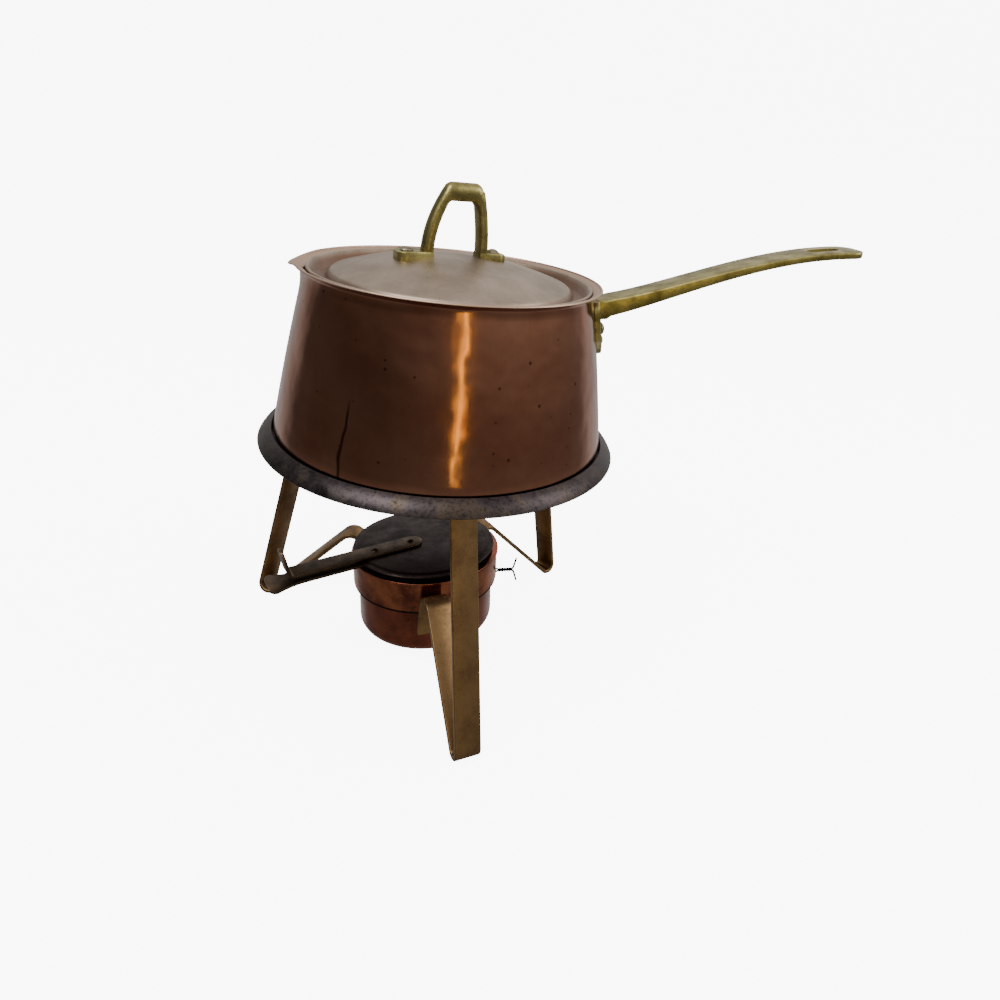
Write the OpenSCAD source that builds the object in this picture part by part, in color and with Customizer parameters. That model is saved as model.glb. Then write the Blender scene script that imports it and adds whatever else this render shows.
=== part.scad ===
// Copper fondue pot with a lift-off lid, on a three-legged stand with a spirit burner.
// The origin is on the stand's axis at table height, +Z up, +X along the pot's handle.

/* [Stand ring] */
// How far the ring's skirt reaches out past the pot's base
skirt_reach = 8.2; // [6.2:0.1:16.2]
// Height of the sloping skirt round the ring
skirt_h = 7.3; // [6:0.1:9]
// Thickness of the skirt
skirt_t = 2; // [1.6:0.1:2.4]
// Gap between the skirt and the pot's base
skirt_gap = 0.8; // [0.6:0.1:1.2]
// Radius of the opening in the ring
ring_open_r = 57; // [50:1:58]
// Thickness of the ring's flat ledge
ledge_t = 2; // [1.5:0.1:3]
// Height of the ledge's top above the table
ledge_z = 133.5; // [125:0.5:150]

/* [Legs] */
// Radius of the circle on which the feet stand
foot_r = 113; // [106:1:122]
// Width of the leg strip
leg_w = 14; // [11:0.5:17]
// Thickness of the leg strip
leg_t = 2.6; // [2:0.1:3.4]
// Lean of the outer strip from upright, in degrees
leg_lean = 15.5; // [12:0.5:18]
// Middle radius of the bend at the foot
foot_bend = 4; // [3:0.5:5]
// Depth of the flat worn under the foot
foot_wear = 0.4; // [0.2:0.1:0.6]
// Middle radius of the bend under the ring
top_bend = 5; // [3:0.5:8]
// Length of the tab under the ring's ledge
tab_l = 14; // [12:0.5:16]
// Height of the hook's crown above the table
hook_z = 57; // [54:0.5:62]
// Middle radius of the hook's bend
hook_bend = 7; // [5:0.5:8]
// Height of the hook tail's lower end
tail_z = 30; // [22:1:32]

/* [Burner hoop] */
// Outer radius of the hoop that the burner hangs in
hoop_r = 43.8; // [42.6:0.1:45]
// Wall of the hoop
hoop_t = 1.4; // [1:0.1:1.8]
// Height of the hoop
hoop_h = 16.5; // [14:0.5:19]
// Height of the hoop's lower edge above the table
hoop_z = 38; // [36:0.5:40]
// Droop of the hoop and the burner, in degrees
hang_tilt = 5; // [3:0.5:6]
// Direction of the droop, in degrees from +X
hang_azimuth = 146; // [130:1:164]
// Shift of the hoop and the burner from the stand's axis, toward the pouring lip
hang_shift = 3; // [0:0.5:4]

/* [Tie wire] */
// Diameter of the tie wire
wire_d = 0.9; // [0.76:0.02:0.92]
// Turns in the twisted tail of the wire
twist_n = 3; // [2:1:4]
// Length of one turn of the twist
twist_pitch = 3; // [2.9:0.1:3.4]
// Length of each splayed wire end
wire_end = 6; // [3:0.5:8]
// Direction of the twisted tail, in degrees from +X
wire_azimuth = 3; // [-12:1:10]

/* [Pot] */
// Outer radius of the pot at its widest, above the base corner
pot_base_r = 91.8; // [86:0.2:98]
// Outer radius of the pot at its neck
pot_neck_r = 77.2; // [75:0.2:80]
// How far the lip flares out past the neck
lip_flare = 4.6; // [4:0.1:5.6]
// Height of the pot
pot_h = 93.2; // [85:0.2:105]
// Height of the flared lip
lip_h = 3.5; // [3:0.1:5]
// Radius of the pot's base corner
base_corner = 6; // [4:0.5:9]
// Outward swell of the wall between base and neck
wall_swell = 0.6; // [0:0.1:1.5]
// Wall of the pot
pot_wall = 1.6; // [1.2:0.1:2]
// Reach of the pouring lip past the round lip
spout_reach = 4; // [2:0.5:6]
// Radius of the pouring lip's own curve
spout_r = 44; // [38:1:52]
// Height of the wall that is drawn out into the pouring lip
spout_h = 14; // [12:0.5:18]
// Dip of the edge at the pouring lip
spout_dip = 2.5; // [1:0.1:3]

/* [Pot handle] */
// Reach of the handle's end from the pot's axis
handle_reach = 224; // [205:1:245]
// Height of the handle's root below the lip
handle_drop = 11.8; // [11:0.2:16]
// Rise of the handle from its root to its end
handle_rise = 44.5; // [34:0.5:54]
// Width of the handle at its root
handle_w = 19.5; // [15:0.5:21]
// Width of the handle's flared end
handle_end_w = 28; // [22:0.5:32]
// Thickness of the handle at its root
handle_t = 10.5; // [9:0.5:11.5]
// Thickness of the handle at its end
handle_end_t = 3.6; // [3:0.2:5]
// Length of the hanging hole
hole_l = 17.5; // [14:0.5:22]
// Width of the hanging hole
hole_w = 9; // [6:0.5:11]
// Width of the plate that the handle is riveted on by
plate_w = 34; // [33:0.5:38]
// Height of the plate's top below the lip
plate_drop = 6.8; // [6:0.2:8]
// Height of that plate
plate_h = 32; // [31:0.5:36]
// Thickness of that plate
plate_t = 3; // [2.5:0.1:4]

/* [Lid] */
// How far the lid's flange reaches past the neck of the pot
lid_overlap = 0.5; // [0.4:0.05:1]
// Radius of the lid's dome
dome_r = 64; // [60:0.5:67]
// Depth of the gutter round the dome below the lid's edge
gutter_drop = 6; // [4:0.2:7]
// Height of the short step round the dome
dome_step = 4.4; // [3:0.2:6]
// Height of the dome above its step
dome_h = 11.3; // [9:0.1:14]
// Thickness of the lid's sheet
lid_t = 1.4; // [1:0.1:1.8]
// Height of the lid's handle above the dome
bail_h = 38; // [32:0.5:44]
// Width of the lid handle's top bar
bail_top_w = 19.6; // [18:0.2:24]
// Width across the lid handle's legs
bail_leg_w = 38.4; // [34:0.2:42]
// Width across the lid handle's feet
bail_span = 62; // [60:0.5:66]
// Thickness of the lid handle's top bar
bail_t = 9.6; // [8:0.2:11]
// Thickness of the lid handle's legs
bail_leg_t = 5.7; // [5:0.1:6.5]
// Depth of the lid handle's bar
bail_d = 9; // [8:0.5:11]
// Lean of the top bar toward one foot
bail_lean = 3.7; // [0:0.1:5]
// Shift of both feet toward one side
bail_shift = 2; // [0:0.5:2.5]
// Depth of the lid handle's feet
bail_foot_d = 15; // [13:0.5:16]
// Thickness of the lid handle's feet
bail_foot_t = 4.2; // [3.4:0.1:5]
// Turn of the lid handle from +X, in degrees
lid_turn = 25.5; // [-45:0.5:45]

/* [Burner] */
// Outer radius of the burner can
can_r = 40.6; // [38:0.2:41]
// Wall of the burner can
can_t = 1; // [0.8:0.1:1.4]
// Height of the can's base above the table
can_z = 8; // [5:0.5:14]
// Radius of the can's base corner
can_corner = 7; // [4:0.5:9]
// Reach of the can's flange over the hoop
flange_over = 0.8; // [0.5:0.1:1.2]
// Thickness of the can's flange
flange_t = 1; // [0.8:0.1:1.4]
// Radius of the burner's mouth
mouth_r = 27; // [24:0.5:28]
// Thickness of the burner's top plate
top_t = 0.9; // [0.8:0.1:1.1]
// Height of the rim round the mouth above the top plate
rim_h = 2.1; // [2:0.1:3]
// Thickness of the gauze
gauze_t = 0.8; // [0.6:0.1:1]
// Radius of each hole in the gauze
gauze_hole_r = 1.4; // [1:0.1:1.7]

/* [Burner levers] */
// Direction of the two levers, in degrees from +X
lever_azimuth = 208; // [201:1:213]
// Width of the burner's handle and the snuffer's arm
lever_w = 12; // [10:0.5:13]
// Thickness of the burner's handle
grip_t = 1.6; // [1.2:0.1:1.8]
// Reach of the burner's handle from the burner's axis
grip_reach = 95; // [90:0.5:99]
// Width of the handle's fishtail end
grip_end_w = 20; // [16:0.5:26]
// Length of the fishtail
grip_end_l = 20; // [16:0.5:24]
// Radius of the snuffer disc
disc_r = 42.5; // [40:0.5:43]
// Thickness of the snuffer disc
disc_t = 1.2; // [1:0.1:1.6]
// Shift of the snuffer disc toward the levers
disc_shift = 1; // [0:0.5:1.5]
// Height of the disc's raised middle
disc_step = 0.8; // [0.4:0.1:1.2]
// Thickness of the snuffer's arm
arm_t = 1.6; // [1.2:0.1:2]
// Reach of the arm's bend from the burner's axis
arm_reach = 84; // [76:0.5:86]
// Height of the thumb tab
thumb_h = 14; // [10:0.5:15]

/* [Fits] */
// Gap between flat faces of two pieces that lift apart
seat_gap = 0.1; // [0.05:0.05:0.3]
// Gap between curved faces of two pieces that lift apart
lift_gap = 0.35; // [0.3:0.05:0.6]
// Gap between curved faces of two pieces fixed together
fixed_gap = 0.05; // [0.02:0.01:0.1]
// Gap between the hoop and the nearest edge of a hook's tail
tail_gap = 1.5; // [1.3:0.1:2.5]

/* [Rivets] */
// Shank radius of the leg and handle rivets
rivet_r = 2; // [1.6:0.1:2.4]
// Head radius of the leg and handle rivets
rivet_head_r = 3.6; // [3:0.1:4]
// Shank radius of the hoop and lever rivets
small_rivet_r = 1.4; // [1:0.1:1.6]
// Head radius of the hoop and lever rivets
small_head_r = 2.6; // [2.2:0.1:3]
// Height of a rivet's head as a share of its radius
head_rise = 0.5; // [0.4:0.05:0.7]

/* [Hidden] */
$fn = 96;
leg_azimuths = [-77, 40, 163];
// The legs were bent by hand: the turn of each strip and each arm about its foot, and each hook's drop
strip_swing = [8, 8, -20];
arm_swing = [8, -10, 12.7];
hook_drop = [0, 5, 8];
through = 1;
arc_steps = 10;
edge = 0.4;

// Skirt of the ring, a little rounded between its top and its outer edge
ring_z = ledge_z - ledge_t;
ring_r = pot_base_r + skirt_reach;
skirt_in = pot_base_r + skirt_gap;
skirt_swell = 0.8;
skirt_top = [skirt_in + edge, ring_z + skirt_h];
skirt_fall = [ring_r, ring_z + edge] - skirt_top;
skirt_out = [-skirt_fall[1], skirt_fall[0]] / norm(skirt_fall);
skirt_points = [for (i = [0 : arc_steps]) let (s = i / arc_steps)
    skirt_top + skirt_fall * s + 4 * skirt_swell * s * (1 - s) * skirt_out];

// Leg profile: u runs inward from the foot's outer face, z runs up
foot_c = [foot_bend + leg_t / 2, foot_bend + leg_t / 2 - foot_wear];
tab_mid_z = ledge_z - ledge_t - leg_t / 2;
top_u = (sin(leg_lean) * (tab_mid_z - top_bend - foot_c[1]) - foot_bend + top_bend) / cos(leg_lean);
top_c = [foot_c[0] + top_u, tab_mid_z - top_bend];
tab_end_u = top_c[0] + tab_l;
tab_rivet_u = top_c[0] + tab_l / 2;
foot_mid_r = foot_r - foot_c[0];
foot_lap = [21, 25, 15];

// Hoop and burner heights, before the droop
hang_c = [-hang_shift, 0];
hang_z = hoop_z + hoop_h / 2;
hoop_top = hoop_z + hoop_h;
flange_z = hoop_top + seat_gap;
flange_r = hoop_r + flange_over;
brim_z = flange_z + flange_t;
grip_z = brim_z + top_t;
rim_z = grip_z + rim_h;
rim_w = 5;
rim_r = mouth_r + rim_w;
disc_z = rim_z + seat_gap;
arm_z = disc_z + disc_step + disc_t;
hoop_rivet_rise = 2.5;
grip_clear = 2;
grip_margin = 2.8;
grip_start = rim_r + grip_clear;
grip_rivets = [grip_start + grip_margin, (can_r + flange_r) / 2];
arm_start = 3;
disc_brim = 2.8;
arm_inset = 7;
arm_rivets = [arm_start + arm_inset, disc_r - arm_inset - disc_brim];
arm_bend = 3;
thumb_angle = 12;
seat_run = 3;
gauze_r = rim_r - seat_run;
gauze_pitch = 4.4;
gauze_rings = floor((mouth_r - gauze_hole_r) / gauze_pitch);
wadding_gap = 0.3;
wadding_low = 5;

// Tie wire, wound round the burner just under the hoop
wire_ring_r = hoop_r - hoop_t / 2;
wire_z = hoop_z - wire_d / 2 - seat_gap;
twist_r = 0.94;
twist_l = twist_n * twist_pitch;
twist_start = 2.2;
twist_x = wire_ring_r + twist_start;
lead = [0.9, 1.4, 0.2];
splay = [0.9, 0.4, 1.7];
splay_lean = 16;
wire_sides = 6;
loop_rings = 24;
turn_rings = 8;
loop_gap_angle = 5;

// Pot and lid heights
pot_z = ledge_z + seat_gap;
lip_r = pot_neck_r + lip_flare;
neck_z = pot_h - lip_h;
flare_power = 1.7;
neck_in_r = pot_neck_r - pot_wall;
lid_r = neck_in_r + lid_overlap;
lid_rise = lip_h * pow((lid_overlap + lift_gap) / lip_flare, 1 / flare_power);
lid_z = pot_z + neck_z + lid_rise;
dome_sphere = (dome_r * dome_r + dome_h * dome_h) / (2 * dome_h);
gutter_z = lid_z - gutter_drop;
dome_top = gutter_z + lid_t + dome_step + dome_h;
lid_edge_w = 1.4;
step_run = 2.2;
gutter_w = 0.6 * (lid_r - lid_edge_w - dome_r - step_run);
bail_top = dome_top + bail_h;
bail_foot_sink = 7;
bail_corner = 4;
lid_rivet_u = (bail_span + bail_leg_w) / 4;
root_z = pot_z + pot_h - handle_drop;
plate_mid = pot_h - plate_drop - plate_h / 2;
plate_foot = 8;
plate_rivet_under = 1.2;
handle_turn = 83;
handle_power = 1.25;
thick_power = 2.2;
flare_rate = 1.1;
end_corner = 9;
hole_inset = 11;
// The pouring lip is a cone about its own upright axis
spout_x = lip_r + spout_reach - spout_r;
spout_low_r = pot_r(pot_h - spout_h) - spout_reach / 2 - spout_x;
spout_lean = atan((spout_r - spout_low_r) / spout_h);
spout_wall = pot_wall / cos(spout_lean);

function arc(centre, radius, from, to, steps = arc_steps) =
    [for (i = [0 : steps]) let (a = from + (to - from) * i / steps) centre + radius * [cos(a), sin(a)]];
function reversed(list) = [for (i = [len(list) - 1 : -1 : 0]) list[i]];

// Outer radius of the pot at a height above its base
function swell(s) = 4 * wall_swell * s * (1 - s);
function pot_r(h) = let (s = (h - base_corner) / (neck_z - base_corner))
    pot_base_r + (pot_neck_r - pot_base_r) * s + swell(s);
function flare_r(s) = pot_neck_r + lip_flare * pow(s, flare_power);

// Middle height and thickness of the handle along its length, from 0 to 1
function handle_mid(s) = root_z + handle_rise * pow(sin(handle_turn * s) / sin(handle_turn), handle_power);
function handle_thick(s) = handle_end_t + (handle_t - handle_end_t) * pow(1 - s, thick_power);
function handle_half(s) = (handle_w + (handle_end_w - handle_w) * pow(s, flare_rate)) / 2;

// Directions out along and across the plane of arm i, and the stand's axis and the hoop in that plane
function leg_out(i) = let (a = leg_azimuths[i] + arm_swing[i]) [cos(a), sin(a)];
function leg_across(i) = let (a = leg_azimuths[i] + arm_swing[i]) [-sin(a), cos(a)];
function axis_along(i) = foot_mid_r * cos(arm_swing[i]) + foot_c[0];
function axis_side(i) = foot_mid_r * sin(arm_swing[i]);
function hoop_side(i) = axis_side(i) + hang_c * leg_across(i);
function tail_near(i) = max(abs(hoop_side(i)) - leg_w / 2, 0);
function tail_along(i) = hang_c * leg_out(i) + sqrt(pow(hoop_r + tail_gap, 2) - pow(tail_near(i), 2));

// Centre of the hook's bend and slope of the arm that rises to it from the foot
function hook_c(i) = [axis_along(i) - tail_along(i) - leg_t / 2 - hook_bend,
    hook_z - hook_drop[i] - leg_t / 2 - hook_bend];
function arm_slope(i) = let (run = hook_c(i) - foot_c)
    atan2(run[1], run[0]) + asin((hook_bend + foot_bend) / norm(run));

// One edge of a leg's strip and of arm i, at an offset from the middle line; they overlap at the foot
function strip_edge(i, o) = concat(
    [[tab_end_u, tab_mid_z + o]],
    arc(top_c, top_bend + o, 90, 180 - leg_lean),
    arc(foot_c, foot_bend + o, 180 - leg_lean, 270 + foot_lap[i]));
function arm_edge(i, o) = concat(
    arc(foot_c, foot_bend + o, 270 - foot_lap[i], 270 + arm_slope(i)),
    arc(hook_c(i), hook_bend - o, 90 + arm_slope(i), 0),
    [[hook_c(i)[0] + hook_bend - o, tail_z]]);

// Place at which the drooping hoop's rivet line meets the tail of leg i
function hoop_rivet_along(i) = hang_c * leg_out(i)
    + sqrt(pow(hoop_r - hoop_t / 2, 2) - pow(hoop_side(i), 2));
function tail_xy(i) = tail_along(i) * leg_out(i) - axis_side(i) * leg_across(i);
function hoop_rivet_z(i) = hang_z + (hoop_rivet_rise - hoop_h / 2) / cos(hang_tilt)
    - tan(hang_tilt) * (tail_xy(i) - hang_c) * [cos(hang_azimuth), sin(hang_azimuth)];

// Points of the tie wire from one splayed end, in through the twist, round the burner and out again
function twist_point(i, phase) = let (a = 360 * i / turn_rings + phase)
    [twist_x + twist_pitch * i / turn_rings, twist_r * cos(a), twist_r * sin(a)];
function splayed(side) = [twist_x + twist_l + splay[0], side * splay[1], side * splay[2]];
function splayed_tip(side) = splayed(side) + wire_end * [sin(splay_lean), 0, side * cos(splay_lean)];
twist_rings = twist_n * turn_rings;
strand_a = [for (i = [0 : twist_rings]) twist_point(i, 90 - 360 * twist_n)];
strand_b = [for (i = [0 : twist_rings]) twist_point(i, 270 - 360 * twist_n)];
loop_step = (360 - 2 * loop_gap_angle) / loop_rings;
loop_points = [for (i = [0 : loop_rings]) let (a = loop_gap_angle + loop_step * i)
    [wire_ring_r * cos(a), wire_ring_r * sin(a), 0]];
wire_points = concat([splayed_tip(1), splayed(1)], reversed(strand_a),
    [[wire_ring_r + lead[0], lead[1], lead[2]]], loop_points,
    [[wire_ring_r + lead[0], -lead[1], -lead[2]]],
    strand_b, [splayed(-1), splayed_tip(-1)]);
wire_gap = min([for (p = strand_a) for (q = strand_b) norm(p - q)]) - wire_d;
echo(tie_wire_least_gap = wire_gap);

// Tube swept along a list of points, closed at both ends
function unit(v) = v / norm(v);
function ring_at(points, i, radius) = let (n = len(points) - 1,
    along = unit(points[min(i + 1, n)] - points[max(i - 1, 0)]),
    across = unit(cross(along, [0, 0, 1])), up = cross(across, along))
    [for (k = [0 : wire_sides - 1]) let (a = 360 * k / wire_sides)
        points[i] + radius * (cos(a) * across + sin(a) * up)];
module tube(points, radius) {
    n = len(points);
    m = wire_sides;
    skin = [for (i = [0 : n - 2]) for (k = [0 : m - 1]) let (a = i * m + k, b = i * m + (k + 1) % m)
        each [[a, a + m, b], [b, a + m, b + m]]];
    last = (n - 1) * m;
    caps = [for (k = [1 : m - 2]) each [[0, k, k + 1], [last, last + k + 1, last + k]]];
    polyhedron([for (i = [0 : n - 1]) each ring_at(points, i, radius)], concat(skin, caps), 4);
}

// Hangs a level piece at the droop of the hoop
module hang() {
    translate([hang_c[0], hang_c[1], hang_z]) rotate([0, 0, hang_azimuth]) rotate([0, hang_tilt, 0])
        rotate([0, 0, -hang_azimuth]) translate([0, 0, -hang_z]) children();
}

// Turns a piece drawn along +X to the levers' direction
module along_lever() { hang() rotate([0, 0, lever_azimuth]) children(); }

// Places a piece drawn at a foot, with -X inward, in the plane of strip i or arm i
legs = [0 : 2];
module at_foot(i, swing) {
    rotate([0, 0, leg_azimuths[i]]) translate([foot_mid_r, 0, 0]) rotate([0, 0, swing])
        translate([foot_c[0], 0, 0]) children();
}
module at_strip(i) { at_foot(i, strip_swing[i]) children(); }
module at_arm(i) { at_foot(i, arm_swing[i]) children(); }

// Rounded rivet head standing on z = 0
module rivet_head(radius) {
    rise = radius * head_rise;
    ball = (radius * radius + rise * rise) / (2 * rise);
    intersection() {
        translate([0, 0, rise - ball]) sphere(ball);
        cylinder(h = rise, r = radius);
    }
}

// Rivet with its head on z = 0 and its shank below it
module rivet(shank, head, grip) {
    translate([0, 0, -grip]) cylinder(h = grip, r = shank);
    rivet_head(head);
}

module stand_ring() color("#4c4040") {
    difference() {
        rotate_extrude() {
            polygon(concat([[ring_open_r, ring_z], [ring_r - edge, ring_z]], reversed(skirt_points),
                [[skirt_in, ring_z + skirt_h - edge], [skirt_in, ledge_z], [ring_open_r, ledge_z]]));
        }
        rotate_extrude() polygon([[skirt_in + skirt_t, ring_z - through],
            [skirt_in + skirt_t, ring_z + skirt_h - 2.4 * skirt_t],
            [ring_r - 1.5 * skirt_t, ring_z], [ring_r - 1.5 * skirt_t, ring_z - through]]);
        for (i = legs) at_strip(i) tab_hole(ledge_z);
    }
}

module tab_hole(top) {
    translate([-tab_rivet_u, 0, top - ledge_t - leg_t - through])
        cylinder(h = ledge_t + leg_t + 2 * through, r = rivet_r);
}

module tail_hole(i) {
    translate([-axis_along(i) + hoop_rivet_along(i), 0, hoop_rivet_z(i)]) rotate([0, 90, 0])
        cylinder(h = tail_along(i) + leg_t - hoop_rivet_along(i) + through, r = small_rivet_r);
}

module bent_strip(outer, inner) {
    rotate([90, 0, 0]) linear_extrude(leg_w, center = true)
        polygon([for (p = concat(outer, reversed(inner))) [-p[0], p[1]]]);
}

module leg(i) color("#5b4526") {
    difference() {
        union() {
            at_strip(i) bent_strip(strip_edge(i, leg_t / 2), strip_edge(i, -leg_t / 2));
            at_arm(i) bent_strip(arm_edge(i, leg_t / 2), arm_edge(i, -leg_t / 2));
        }
        translate([-2 * foot_r, -2 * foot_r, -leg_t]) cube([4 * foot_r, 4 * foot_r, leg_t]);
        at_strip(i) tab_hole(ledge_z);
        at_arm(i) tail_hole(i);
    }
}
module leg_front() leg(0);
module leg_right() leg(1);
module leg_left() leg(2);

// Flush on the ledge, with the rounded head under the tab
module ring_rivets() color("#5b4526") {
    for (i = legs) at_strip(i) translate([-tab_rivet_u, 0, tab_mid_z - leg_t / 2])
        mirror([0, 0, 1]) rivet(rivet_r, rivet_head_r, ledge_t + leg_t);
}

module burner_hoop() color("#6a3a28") {
    difference() {
        hang() translate([0, 0, hoop_z]) difference() {
            cylinder(h = hoop_h, r = hoop_r);
            translate([0, 0, -through]) cylinder(h = hoop_h + 2 * through, r = hoop_r - hoop_t);
        }
        for (i = legs) at_arm(i) tail_hole(i);
    }
}

module hoop_rivets() color("#5b4526") {
    for (i = legs) at_arm(i)
        translate([-axis_along(i) + tail_along(i) + leg_t, 0, hoop_rivet_z(i)]) rotate([0, 90, 0])
            rivet(small_rivet_r, small_head_r, tail_along(i) + leg_t - hoop_rivet_along(i));
}

module tie_wire() color("#1c1a19") {
    hang() translate([0, 0, wire_z]) rotate([0, 0, wire_azimuth]) tube(wire_points, wire_d / 2);
}

function wall_points(inset) = [for (i = [1 : arc_steps])
    let (h = base_corner + (neck_z - base_corner) * i / arc_steps) [pot_r(h) - inset, h]];
function flare_points(inset) = [for (i = [1 : arc_steps])
    let (s = i / arc_steps) [flare_r(s) - inset, neck_z + lip_h * s]];

// The lip's edge is bevelled on both sides
module pot_outside() {
    rotate_extrude() polygon(concat(
        [[0, 0]], arc([pot_base_r - base_corner, base_corner], base_corner, -90, 0),
        wall_points(0), flare_points(0), [[lip_r - edge, pot_h + edge], [0, pot_h + edge]]));
}

module pot_hollow() {
    inner = lip_r - pot_wall;
    rotate_extrude() polygon(concat(
        [[0, pot_wall]], arc([pot_base_r - base_corner, base_corner], base_corner - pot_wall, -90, 0),
        wall_points(pot_wall), flare_points(pot_wall),
        [[inner + edge, pot_h + edge], [inner + edge, pot_h + lip_h], [0, pot_h + lip_h]]));
}

// Cone of the pouring lip, solid or hollow
module spout(inset, top) {
    rise = top - pot_h;
    low = pot_h - spout_h;
    slope = (spout_r - spout_low_r) / spout_h;
    translate([-spout_x, 0, 0]) rotate_extrude() polygon([[0, low], [spout_low_r - inset, low],
        [spout_r - inset + slope * rise, top], [0, top]]);
}

module pot_shell() color("#7a4a32") {
    saddle_r = (spout_r * spout_r / 2.4 + spout_dip * spout_dip) / (2 * spout_dip);
    difference() {
        translate([0, 0, pot_z]) difference() {
            union() {
                pot_outside();
                spout(0, pot_h + edge);
            }
            pot_hollow();
            spout(spout_wall, pot_h + lip_h);
            translate([-spout_x, 0, pot_h + edge - spout_dip + saddle_r]) rotate([0, -90, 0])
                cylinder(h = 2 * spout_r, r = saddle_r);
        }
        plate_rivet_places() translate([0, 0, -plate_t - 2 * pot_wall - through])
            cylinder(h = plate_t + 2 * pot_wall + 2 * through, r = rivet_r);
    }
}

// The plate is flat and leans with the wall: X across it, Y up it, Z out of the wall
wall_lean = atan((pot_r(plate_mid - 2) - pot_r(plate_mid + 2)) / 4);
plate_gap = 2 * fixed_gap;
module at_plate() {
    translate([pot_r(plate_mid), 0, pot_z + plate_mid]) rotate([0, -wall_lean, 0])
        rotate([90, 0, 90]) children();
}

// Three rivets hold the plate: two beside the handle's root and one below it
root_low = root_z - handle_t / 2 - pot_z - plate_mid;
plate_rivets = concat([for (side = [-1, 1])
    [side * handle_w / 2, root_low - rivet_head_r - plate_rivet_under]],
    [[0, plate_foot - plate_h / 2]]);
module plate_rivet_places() {
    at_plate() for (p = plate_rivets) translate([p[0], p[1], plate_gap + plate_t]) children();
}

module pot_handle() color("#9c9150") {
    root_x = pot_r(root_z - pot_z);
    length = handle_reach - root_x;
    steps = 24;
    top_edge = [for (i = [0 : steps]) let (s = i / steps)
        [root_x + length * s, handle_mid(s) + handle_thick(s) / 2]];
    low_edge = [for (i = [0 : steps]) let (s = i / steps)
        [root_x + length * s, handle_mid(s) - handle_thick(s) / 2]];
    flank = [for (i = [0 : steps]) let (s = i / steps, x = root_x + length * s)
        if (x < handle_reach - end_corner) [x, handle_half(s)]];
    corner_c = [handle_reach - end_corner, handle_end_w / 2 - end_corner];
    half = concat(flank, arc(corner_c, end_corner, 90, 0));
    hole_c = handle_reach - hole_inset - hole_l / 2;
    difference() {
        union() {
            intersection() {
                rotate([90, 0, 0]) linear_extrude(2 * handle_end_w, center = true)
                    polygon(concat(top_edge, reversed(low_edge)));
                linear_extrude(2 * root_z) polygon(concat(half, [for (p = reversed(half)) [p[0], -p[1]]]));
            }
            at_plate() translate([0, 0, plate_gap]) linear_extrude(plate_t) plate_outline();
        }
        at_plate() translate([-plate_w, -plate_h, plate_gap - handle_w])
            cube([2 * plate_w, 2 * plate_h, handle_w]);
        translate([0, 0, root_z]) linear_extrude(root_z) for (side = [-1, 1])
            translate([hole_c + side * (hole_l - hole_w) / 2, 0]) circle(hole_w / 2);
        translate([hole_c - (hole_l - hole_w) / 2, -hole_w / 2, root_z])
            cube([hole_l - hole_w, hole_w, root_z]);
        plate_rivet_places() translate([0, 0, -plate_t - through])
            cylinder(h = plate_t + 2 * through, r = rivet_r);
    }
}

// Plate seen from the handle's side, tapered to a round foot
module plate_outline() {
    top = 5;
    high = plate_h / 2;
    polygon(concat(
        arc([plate_w / 2 - top, high - top], top, 0, 90),
        arc([top - plate_w / 2, high - top], top, 90, 180),
        [[-plate_w / 2, -high / 4]],
        arc([0, plate_foot - high], plate_foot, 210, 330),
        [[plate_w / 2, -high / 4]]));
}

module pot_handle_rivets() color("#8a8052") {
    at_plate() for (p = plate_rivets) let (r = pot_r(plate_mid), off = r - sqrt(r * r - p[0] * p[0]))
        translate([p[0], p[1], plate_gap + plate_t])
            rivet(rivet_r, rivet_head_r, plate_t + plate_gap + off + pot_wall);
}

// Outer curve of the lid from its flange to the middle of its dome
dome_edge_a = asin(dome_r / dome_sphere);
function dome_curve(drop) = concat(
    [[lid_r, lid_z + lid_t - drop], [lid_r - lid_edge_w, lid_z + lid_t - drop],
     [dome_r + step_run + gutter_w, gutter_z + lid_t - drop], [dome_r + step_run, gutter_z + lid_t - drop],
     [dome_r, gutter_z + lid_t + dome_step - drop]],
    [for (i = [1 : arc_steps]) let (a = dome_edge_a * (1 - i / arc_steps))
        [dome_sphere * sin(a), dome_top - dome_sphere * (1 - cos(a)) - drop]]);

module lid_dome() color("#a09080") {
    difference() {
        rotate_extrude() polygon(concat(dome_curve(0), reversed(dome_curve(lid_t))));
        lid_rivet_places() translate([0, 0, -dome_h]) cylinder(h = 2 * dome_h, r = rivet_r);
    }
}

lid_rivet_drop = dome_sphere - sqrt(dome_sphere * dome_sphere - lid_rivet_u * lid_rivet_u);
module lid_rivet_places() {
    rotate([0, 0, lid_turn]) for (side = [-1, 1])
        translate([side * lid_rivet_u - bail_shift, 0, dome_top - lid_rivet_drop + bail_foot_t]) children();
}

// Half width and middle of the lid handle at a height above the dome
function bail_half(z) = let (s = max(z / bail_h, 0)) (bail_leg_w - (bail_leg_w - bail_top_w) * s * s) / 2;
function bail_mid(z) = let (s = max(z / bail_h, 0)) bail_lean * s * s;
function bail_side(side, inset, low, high) = [for (i = [0 : arc_steps])
    let (z = low + (high - low) * i / arc_steps)
        [bail_mid(z) + side * (bail_half(z) - inset), dome_top + z]];

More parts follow.
